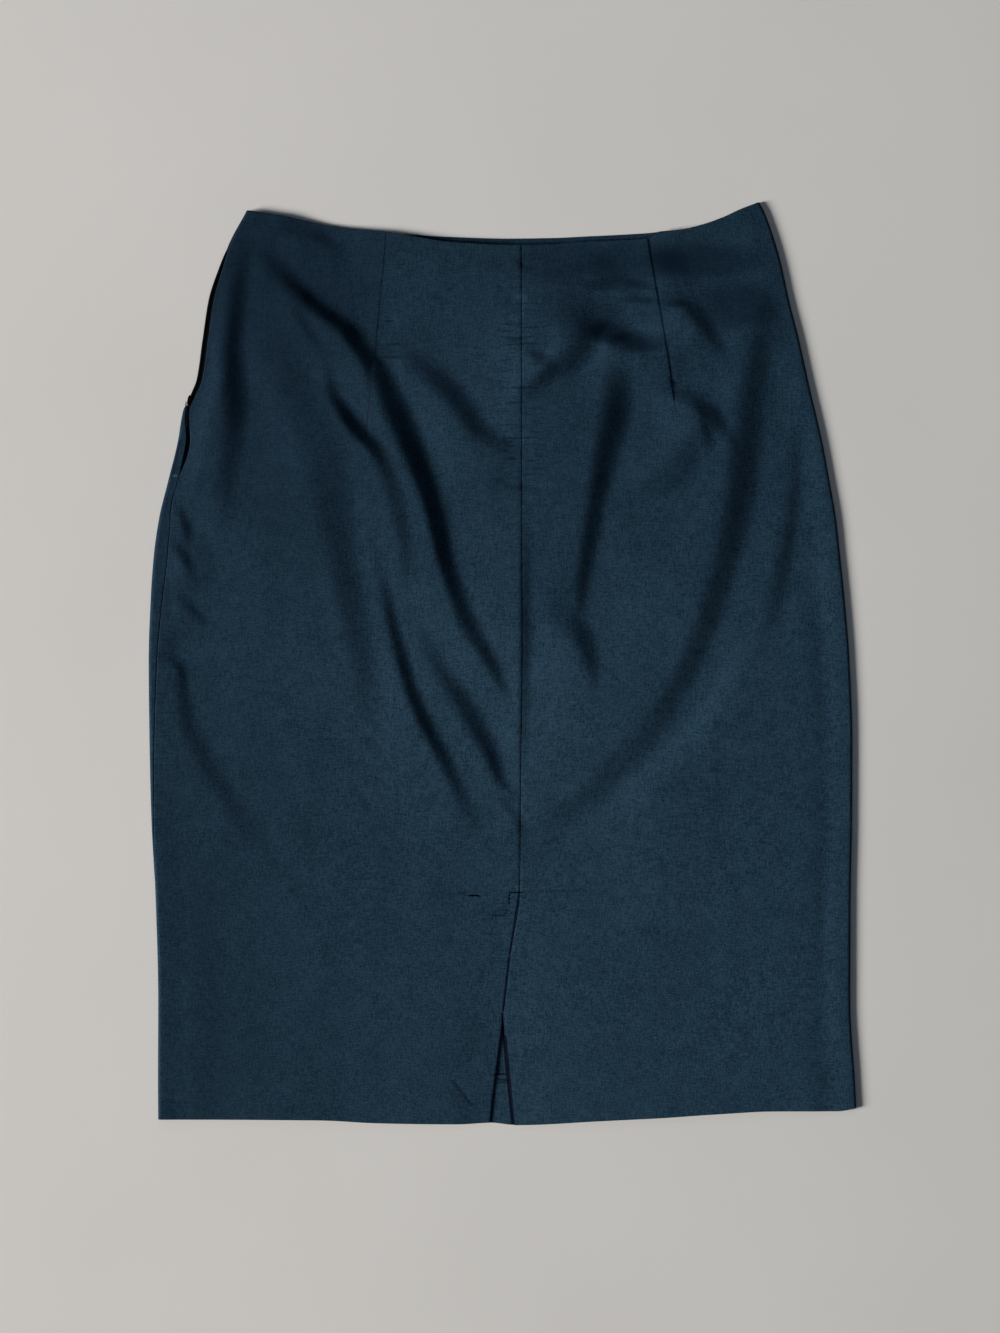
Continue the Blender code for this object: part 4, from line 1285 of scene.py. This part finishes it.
def make_cloth():
    """Twill suiting with its slubs, painted shade along creases and edges, and painted highlights at corners.
    """
    cloth = Finish(
        "suiting",
        Roughness=0.78,
        Specular_IOR_Level=0.07,
        Sheen_Weight=0.05,
        Sheen_Roughness=0.45,
        Sheen_Tint=(0.55, 0.75, 0.9, 1.0),
    )
    x, y, z = cloth.place()
    thin, long = SLUB
    warp = cloth.noise(cloth.vector(x * thin, y * long, z * SLUB_RISE), detail=3.0, roughness=0.6)
    weft = cloth.noise(cloth.vector(x * long, y * thin, z * SLUB_RISE), detail=3.0, roughness=0.6)
    slub = (warp + weft) * 0.5
    fine = cloth.noise(cloth.vector(x, y, z), FINE_GRAIN, detail=2.0, roughness=0.7)
    cloudy = cloth.noise(cloth.vector(x, y, z), CLOUDS, detail=3.0, roughness=0.6)
    tone = (slub * TONE_SLUB + fine * TONE_FINE + cloudy * TONE_CLOUDS).step(*TONE_RANGE)
    tint = cloth.mix(tone, CLOTH_DEEP, CLOTH_LIT)

    across, level = x + MIDDLE[0], y + MIDDLE[1]
    # Painted shade towards the waist and the left, then in the oval marks.
    shade = level.step(*UPWARDS) * UPPER_SHADE + (1.0 - across.step(*RIGHTWARDS)) * LEFT_SHADE
    for mark in SHADE_MARKS:
        shade = shade + mark.depth * spot(mark, across, level)
    # Painted shade of the seam's finest pulls, as dark streaks beside it.
    pull = cloth.noise(cloth.vector(x * PULL_SHADE_SCALES[0], y * PULL_SHADE_SCALES[1], 0.0)).step(*PULL_SHADE_RANGE)
    by_seam = 1.0 - (across - SEAM_SHADE_AT).size().step(*SEAM_SHADE_SIDES)
    by_seam = by_seam * level.step(*SEAM_SHADE_FOOT) * (1.0 - level.step(*SEAM_SHADE_HEAD))
    shade = shade + SEAM_SHADE * pull * by_seam

    # Painted shade lines along pressed edges.
    shade_lines = sum(stroke.depth * drawn(stroke, across, level) for stroke in SHADE_STROKES)
    # Painted highlights at stitched corners.
    highlight = sum(mark.depth * spot(mark, across, level) for mark in HIGHLIGHT_MARKS)
    outside = z.step(*UPPER_SIDE)
    shaded = cloth.mix(shade_lines * outside, cloth.mix(shade * outside, tint, SHADE), LINE_SHADE)
    cloth.set("Base Color", cloth.mix(highlight * outside, shaded, HIGHLIGHT_COLOUR))

    twill = ((x + y) * (2.0 * math.pi / YARN)).sine() * ((x - y) * (2.0 * math.pi / RIB)).sine()
    cloth.bump(twill * RELIEF_TWILL + slub * RELIEF_SLUB + fine * RELIEF_FINE, RELIEF_DEPTH)
    return cloth.material


suiting = make_cloth()
for node, panel in panels.items():
    panel.data.materials.append(suiting)
    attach(panel, "skirt")
    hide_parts(node)

# %% [markdown]
# ## Lofts and tubes
#
# Most small parts of a zip are lofts: a run of rings joined into a skin and closed at both ends. A thread,
# a pin and each turn of a nylon coil are tubes, which are lofts too, with round rings set square to their
# line.

# %% Lofting
UPRIGHT = 0.9


def loft(rings, closed_ends=True):
    """Points and faces of a skin through rings that all have the same number of points."""
    rings = np.asarray(rings, float)
    count, around = rings.shape[:2]
    index = np.arange(count * around).reshape(count, around)
    after = np.roll(index, -1, axis=1)
    faces = np.stack([index[:-1], after[:-1], after[1:], index[1:]], axis=-1).reshape(-1, 4).tolist()
    if closed_ends:
        faces += [index[0][::-1].tolist(), index[-1].tolist()]
    return rings.reshape(-1, 3), faces


def oval(half_across, half_high, count, squareness):
    """A ring of points round an oval, in two dimensions."""
    turn = 2.0 * math.pi * np.arange(count) / count
    power = 2.0 / squareness
    u = half_across * np.sign(np.cos(turn)) * np.abs(np.cos(turn)) ** power
    v = half_high * np.sign(np.sin(turn)) * np.abs(np.sin(turn)) ** power
    return u, v


def tube(points, radius, sides=8):
    """A round tube along a run of points."""
    points = np.asarray(points, float)
    along = np.gradient(points, axis=0)
    along /= np.linalg.norm(along, axis=1, keepdims=True)
    guide = np.where(np.abs(along[:, 2:]) < UPRIGHT, [[0.0, 0.0, 1.0]], [[1.0, 0.0, 0.0]])
    side = np.cross(along, guide)
    side /= np.linalg.norm(side, axis=1, keepdims=True)
    up = np.cross(side, along)
    turn = 2.0 * math.pi * np.arange(sides) / sides
    ring = np.cos(turn)[None, :, None] * side[:, None] + np.sin(turn)[None, :, None] * up[:, None]
    return loft(points[:, None] + radius * ring)


def make_piece(name, skins, material, body, node=None):
    """One object from several skins, in cutter's millimetres."""
    points, faces, first = [], [], 0
    for skin_points, skin_faces in skins:
        points.append(to_frame(skin_points[:, 0], skin_points[:, 1], skin_points[:, 2]))
        faces += [[first + corner for corner in face] for face in skin_faces]
        first += len(skin_points)
    mesh = bpy.data.meshes.new(name)
    mesh.from_pydata(np.concatenate(points).tolist(), [], faces)
    mesh.shade_smooth()
    mesh.materials.append(material)
    piece = bpy.data.objects.new(name, mesh)
    bpy.context.scene.collection.objects.link(piece)
    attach(piece, body)
    if node:
        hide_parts(node)
    print(name, "has", len(faces), "faces")
    return piece


# %% [markdown]
# ## The zip's two tapes and its coils
#
# A concealed zip has two woven tapes, one sewn inside the front's edge and one inside the back's. Each
# carries half of a nylon coil along its edge. Above the slider the zip stands open, so the tapes part and
# the upper one shows as a black line at the skirt's outline. Below it, the coils mesh and sink between the
# front and the back.

# %% Tapes and coils
TapeEdge = namedtuple("TapeEdge", "level inset")
TAPE_EDGE = (
    TapeEdge(450, 3.0),
    TapeEdge(505, 3.0),
    TapeEdge(509, 2.8),
    TapeEdge(513, 0.9),
    TapeEdge(525, 0.0),
    TapeEdge(612, 0.0),
    TapeEdge(622, 0.4),
    TapeEdge(628, 1.6),
    TapeEdge(640, 2.6),
)
TAPE_LEVELS = (453.0, 634.0)
TAPE_WIDTH = 10.0
TAPE_WALL = 0.4
UPPER_TAPE = 2.65
LOWER_TAPE = 1.25
TAPE_STEP = 2.5
LOWER_INSET = 0.9
SLIDER_LEVEL = 514.2
COIL_PITCH = 1.15
COIL_RADIUS = 0.62
COIL_SQUASH = 1.25
COIL_WIRE = 0.24
COIL_STEP = 2.0
TURN_POINTS = 9
COIL_INSET = 0.9
UPPER_COIL = UPPER_TAPE + 0.15
LOWER_COIL = LOWER_TAPE + 0.1
SHUT_COIL = UPPER_TAPE + 0.75
MESHED = 0.55
OPEN_LEVELS = (SLIDER_LEVEL + 1.0, TAPE_LEVELS[1] - 1.0)
SHUT_LEVELS = (TAPE_LEVELS[0] + 2.0, SLIDER_LEVEL - 5.0)
NYLON_DEEP = (0.0008, 0.001, 0.0015, 1.0)
TAPE_WORN = (0.003, 0.0036, 0.005, 1.0)
COIL_WORN = (0.003, 0.0035, 0.005, 1.0)
RIBS = (5.2, 2.4)
RIB_SHARE, DUST_SHARE = 0.6, 0.4
tape_inset = through(TAPE_EDGE, "inset")


def make_tape_finish():
    """Close herringbone ribs in matt black."""
    tape = Finish("zip tape", Roughness=0.9, Specular_IOR_Level=0.05)
    x, y, _ = tape.place()
    u, v = x * RIBS[0], y * RIBS[1]
    ribs = ((u + v).sine() * (u - v).sine()).size()
    dust = tape.noise(tape.vector(x, y, 0.0), 0.8, detail=3.0)
    tape.set("Base Color", tape.mix(ribs * RIB_SHARE + dust * DUST_SHARE, NYLON_DEEP, TAPE_WORN))
    tape.bump(ribs, 0.12)
    return tape.material


def make_coil_finish():
    """Black nylon, slightly worn."""
    coil = Finish("zip coil", Roughness=0.6, Specular_IOR_Level=0.08)
    x, y, _ = coil.place()
    wear = coil.noise(coil.vector(x, y, 0.0), 1.5)
    coil.set("Base Color", coil.mix(wear, NYLON_DEEP, COIL_WORN))
    return coil.material


def tape_strip(levels, outer, inner, height):
    """A flat strip between two edges, as one closed skin."""
    wide, high = oval(0.5, 0.5 * TAPE_WALL, 20, squareness=5.0)
    rings = []
    for level, start, end in zip(levels, outer, inner):
        across = 0.5 * (start + end) + wide * (end - start)
        rings.append(np.stack([across, np.full(across.shape, level), height + high], axis=-1))
    return loft(rings)


def coil_run(levels, across, height, flip):
    """A nylon coil along a line, as one long tube."""
    turns = (levels[-1] - levels[0]) / COIL_PITCH
    t = np.linspace(0.0, 1.0, int(turns * TURN_POINTS))
    level = levels[0] + t * (levels[-1] - levels[0])
    angle = flip * 2.0 * math.pi * turns * t
    centre = np.interp(level, levels, across)
    run = [centre + COIL_SQUASH * COIL_RADIUS * np.cos(angle), level, height + COIL_RADIUS * np.sin(angle)]
    return tube(np.stack(run, axis=-1), COIL_WIRE, sides=6)


tape_finish = make_tape_finish()
coil_finish = make_coil_finish()
levels = np.arange(TAPE_LEVELS[0], TAPE_LEVELS[1] + 1.0, TAPE_STEP)
outer = EDGE["left"](levels) + tape_inset(levels)
inner = EDGE["left"](levels) + TAPE_WIDTH
upper_skin = tape_strip(levels, outer, inner, UPPER_TAPE)
lower_skin = tape_strip(levels, outer + LOWER_INSET, inner, LOWER_TAPE)
upper_tape = make_piece("zip_tape_back", [upper_skin], tape_finish, "skirt", "zip_tape")
lower_tape = make_piece("zip_tape_front", [lower_skin], tape_finish, "skirt")
open_levels = np.arange(*OPEN_LEVELS, COIL_STEP)
open_across = EDGE["left"](open_levels) + tape_inset(open_levels) + COIL_INSET
shut_levels = np.arange(*SHUT_LEVELS, COIL_STEP)
shut_reach = 0.5 * (REACH["front"](shut_levels) + REACH["back"](shut_levels))
shut_across = EDGE["left"](shut_levels) + RIM + shut_reach - QUARTER
coil_skins = [
    coil_run(open_levels, open_across, UPPER_COIL, 1.0),
    coil_run(open_levels, open_across + LOWER_INSET, LOWER_COIL, -1.0),
    coil_run(shut_levels, shut_across - MESHED, SHUT_COIL, 1.0),
    coil_run(shut_levels, shut_across + MESHED, SHUT_COIL, -1.0),
]
make_piece("zip_coil", coil_skins, coil_finish, "skirt")

# %% [markdown]
# ## The slider and its pull
#
# The slider is a small shield of lacquered metal with two ears, and a pin between the ears holds the pull.
# The pull is narrow at the pin and widens to a flat paddle with a hollow face, so that fingers can grip it.
# It turns on the pin, so it rides on its own body; the slider stays with the skirt. The small bright spot
# over the pin is a painted glint, made as a pale, half-metallic spot in the lacquer.

# %% Slider and pull
SLIDER_AT = (-236.8, SLIDER_LEVEL)
SLIDER_TURN = math.radians(-18.0)
SLIDER_FOOT = 2.8
HINGE = (-238.1, 510.9, 4.9)
# Painted glint: a small pale spot over the pin.
GLINT_AT = (-238.3, 511.2)
GLINT_RIM = (0.2, 0.7)
LACQUER = (0.0015, 0.0018, 0.0025, 1.0)
LACQUER_ROUGHNESS = 0.45
WORN_METAL_AND_GLINT = (0.26, 0.27, 0.29, 1.0)
WORN_AND_GLINT_METALLIC = 0.5
BARE_ROUGHER = 0.1
RUB_RANGE = (0.72, 0.9)
RUB_SHARE = 0.12
PADDLE_SIDES = 24
HOLLOW_DEPTH = 0.35
HOLLOW_START = 4.0
HOLLOW_FADE = 3.0
SHIELD_HALF = 0.45
EAR_APART = 1.18
EAR_MIDDLE = 0.4
EAR_HEEL = (-0.8, 0.0)
EAR_ROUND = (0.9, 0.7)
EAR_HIGH = 2.1
EAR_TOE = [(2.8, 0.9), (2.8, 0.0)]
Section = namedtuple("Section", "along half_across half_high")
SHIELD = (
    Section(3.8, 0.7, 0.25),
    Section(3.55, 1.2, 0.38),
    Section(3.0, 1.55, 0.45),
    Section(1.6, 1.7, 0.45),
    Section(0.0, 1.55, 0.45),
    Section(-1.8, 1.3, 0.45),
    Section(-3.1, 1.15, 0.43),
    Section(-3.6, 0.95, 0.36),
    Section(-3.8, 0.6, 0.22),
)
PADDLE = (
    Section(-0.5, 0.8, 0.30),
    Section(-0.9, 0.8, 0.42),
    Section(-1.7, 0.64, 0.45),
    Section(-3.0, 0.55, 0.42),
    Section(-4.6, 0.62, 0.42),
    Section(-7.0, 0.78, 0.45),
    Section(-10.5, 0.86, 0.45),
    Section(-13.6, 0.86, 0.45),
    Section(-15.2, 0.74, 0.42),
    Section(-15.8, 0.52, 0.32),
    Section(-16.0, 0.3, 0.18),
)

Turned = namedtuple("Turned", "along radius")
BARREL = (
    Turned(-0.8, 0.5),
    Turned(-0.8, 0.75),
    Turned(-0.7, 0.85),
    Turned(0.7, 0.85),
    Turned(0.8, 0.75),
    Turned(0.8, 0.5),
    Turned(-0.8, 0.5),
)
PIN = (
    Turned(-1.62, 0.12),
    Turned(-1.56, 0.34),
    Turned(-1.42, 0.46),
    Turned(-1.4, 0.35),
    Turned(1.4, 0.35),
    Turned(1.42, 0.46),
    Turned(1.56, 0.34),
    Turned(1.62, 0.12),
)
EarSlice = namedtuple("EarSlice", "offset scale")
EAR_SLICES = (EarSlice(-0.22, 0.88), EarSlice(-0.15, 1.0), EarSlice(0.15, 1.0), EarSlice(0.22, 0.88))


def make_lacquer():
    """Black lacquer that is rubbed a little bare in patches, with a painted glint over the pin."""
    lacquer = Finish("black lacquer", Specular_IOR_Level=0.04)
    x, y, z = lacquer.place()
    wear_and_glint = lacquer.noise(lacquer.vector(x, y, z), 1.3, detail=4.0, roughness=0.65)
    wear_and_glint = wear_and_glint.step(*RUB_RANGE) * RUB_SHARE
    u, v = x + MIDDLE[0] - GLINT_AT[0], y + MIDDLE[1] - GLINT_AT[1]
    # Painted glint over the pin, added to the worn patches.
    wear_and_glint = wear_and_glint + (1.0 - wear_and_glint) * (1.0 - (u * u + v * v).step(*GLINT_RIM))
    lacquer.set("Base Color", lacquer.mix(wear_and_glint, LACQUER, WORN_METAL_AND_GLINT))
    lacquer.set("Metallic", wear_and_glint * WORN_AND_GLINT_METALLIC)
    lacquer.set("Roughness", LACQUER_ROUGHNESS + wear_and_glint * BARE_ROUGHER)
    lacquer.bump(lacquer.noise(lacquer.vector(x, y, z), 3.0), 0.02)
    return lacquer.material


def paddle_skin():
    """The pull: a bar that widens to a paddle, hollowed along its face."""
    rings = []
    for row in PADDLE:
        across, high = oval(row.half_across, row.half_high, PADDLE_SIDES, squareness=3.0)
        reach = ease((-row.along - HOLLOW_START) / HOLLOW_FADE)
        high = high * (1.0 - HOLLOW_DEPTH * (1.0 - (across / row.half_across) ** 4) * reach)
        ring = [HINGE[0] + across, np.full(PADDLE_SIDES, HINGE[1] + row.along), HINGE[2] + high]
        rings.append(np.stack(ring, axis=-1))
    return loft(rings)


def turned_skin(profile, sides, closed_ends=True):
    """A skin turned round the hinge's axis."""
    turn = 2.0 * math.pi * np.arange(sides) / sides
    rings = []
    for row in profile:
        v, w = HINGE[1] + row.radius * np.cos(turn), HINGE[2] + row.radius * np.sin(turn)
        rings.append(np.stack([np.full(sides, HINGE[0] + row.along), v, w], axis=-1))
    return loft(rings, closed_ends)


def shield_skin():
    """The slider's flat body, turned to follow the seam."""
    rings = []
    for row in SHIELD:
        across, high = oval(row.half_across, row.half_high, 20, squareness=3.2)
        u = across * math.cos(SLIDER_TURN) - row.along * math.sin(SLIDER_TURN)
        v = across * math.sin(SLIDER_TURN) + row.along * math.cos(SLIDER_TURN)
        ring = [SLIDER_AT[0] + u, SLIDER_AT[1] + v, SLIDER_FOOT + SHIELD_HALF + high]
        rings.append(np.stack(ring, axis=-1))
    return loft(rings)


def ear_skin(side):
    """One ear: a rounded upright plate beside the pull."""
    outline = [EAR_HEEL]
    for angle in np.linspace(math.pi, 0.0, 9):
        outline.append((EAR_ROUND[0] * math.cos(angle), EAR_HIGH + EAR_ROUND[1] * math.sin(angle)))
    outline += EAR_TOE
    middle = HINGE[1] + EAR_MIDDLE
    rings = []
    for row in EAR_SLICES:
        u = HINGE[0] + side * EAR_APART + row.offset
        grown = [(middle + (v - EAR_MIDDLE) * row.scale, SLIDER_FOOT + w * row.scale) for v, w in outline]
        rings.append([(u, v, w) for v, w in grown])
    return loft(rings)


lacquer = make_lacquer()
slider_skins = [shield_skin(), ear_skin(-1.0), ear_skin(1.0), turned_skin(PIN, 16)]
pull_skins = [paddle_skin(), turned_skin(BARREL, 20, closed_ends=False)]
make_piece("zip_slider_shield", slider_skins, lacquer, "skirt", "zip_slider")
make_piece("zip_pull_tab", pull_skins, lacquer, "zip_pull", "zip_pull")

# %% [markdown]
# ## Stitches at the vent
#
# The vent's top takes the strain of every step, so a sewer fixes it with a few stitches that show from
# outside: a short, thick tack through the facing, and a row of small stitches across the seam and down
# beside it. Each stitch is a short tube that dips into the cloth at both ends.

# %% Vent stitches
StitchRow = namedtuple("StitchRow", "start end stitch gap radius arch")
STITCH_ROWS = (
    StitchRow((-9.2, 163.4), (1.6, 163.4), 2.3, 0.5, 0.36, 0.8),
    StitchRow((-9.0, 162.4), (-9.0, 154.0), 2.1, 0.6, 0.28, 0.8),
    StitchRow((-38.4, 160.9), (-28.4, 160.7), 4.6, 0.2, 0.42, 1.0),
    StitchRow((-37.6, 161.5), (-29.6, 161.3), 7.6, 0.2, 0.30, 0.8),
)
STITCH_ARCH = np.array((-0.45, -0.1, 0.15, 0.22, 0.25, 0.22, 0.15, -0.1, -0.45))
SHORTEST_STITCH = 0.4
THREAD_DEEP = (0.0004, 0.001, 0.002, 1.0)
THREAD_LIT = (0.0012, 0.003, 0.005, 1.0)
PLY = 9.0


def make_thread_finish():
    """Dark thread with its twist."""
    thread = Finish("thread", Roughness=0.9, Specular_IOR_Level=0.02)
    x, y, _ = thread.place()
    ply = ((x + y) * PLY).sine() * 0.5 + 0.5
    thread.set("Base Color", thread.mix(ply, THREAD_DEEP, THREAD_LIT))
    thread.bump(ply, 0.05)
    return thread.material


def stitch_skins(row):
    """The stitches of a row, each an arch that dips into the cloth at both ends."""
    start, end = np.array(row.start), np.array(row.end)
    run = np.linalg.norm(end - start)
    skins = []
    for first in np.arange(0.0, run - SHORTEST_STITCH * row.stitch, row.stitch + row.gap):
        t = np.linspace(first, min(first + row.stitch, run), len(STITCH_ARCH))
        spots = start + (end - start) * (t / run)[:, None]
        height = back_height(spots[:, 0], spots[:, 1]) + row.arch * STITCH_ARCH
        skins.append(tube(np.column_stack([spots, height]), row.radius))
    return skins


thread_finish = make_thread_finish()
stitches = [skin for row in STITCH_ROWS for skin in stitch_skins(row)]
make_piece("vent_stitches", stitches, thread_finish, "skirt")
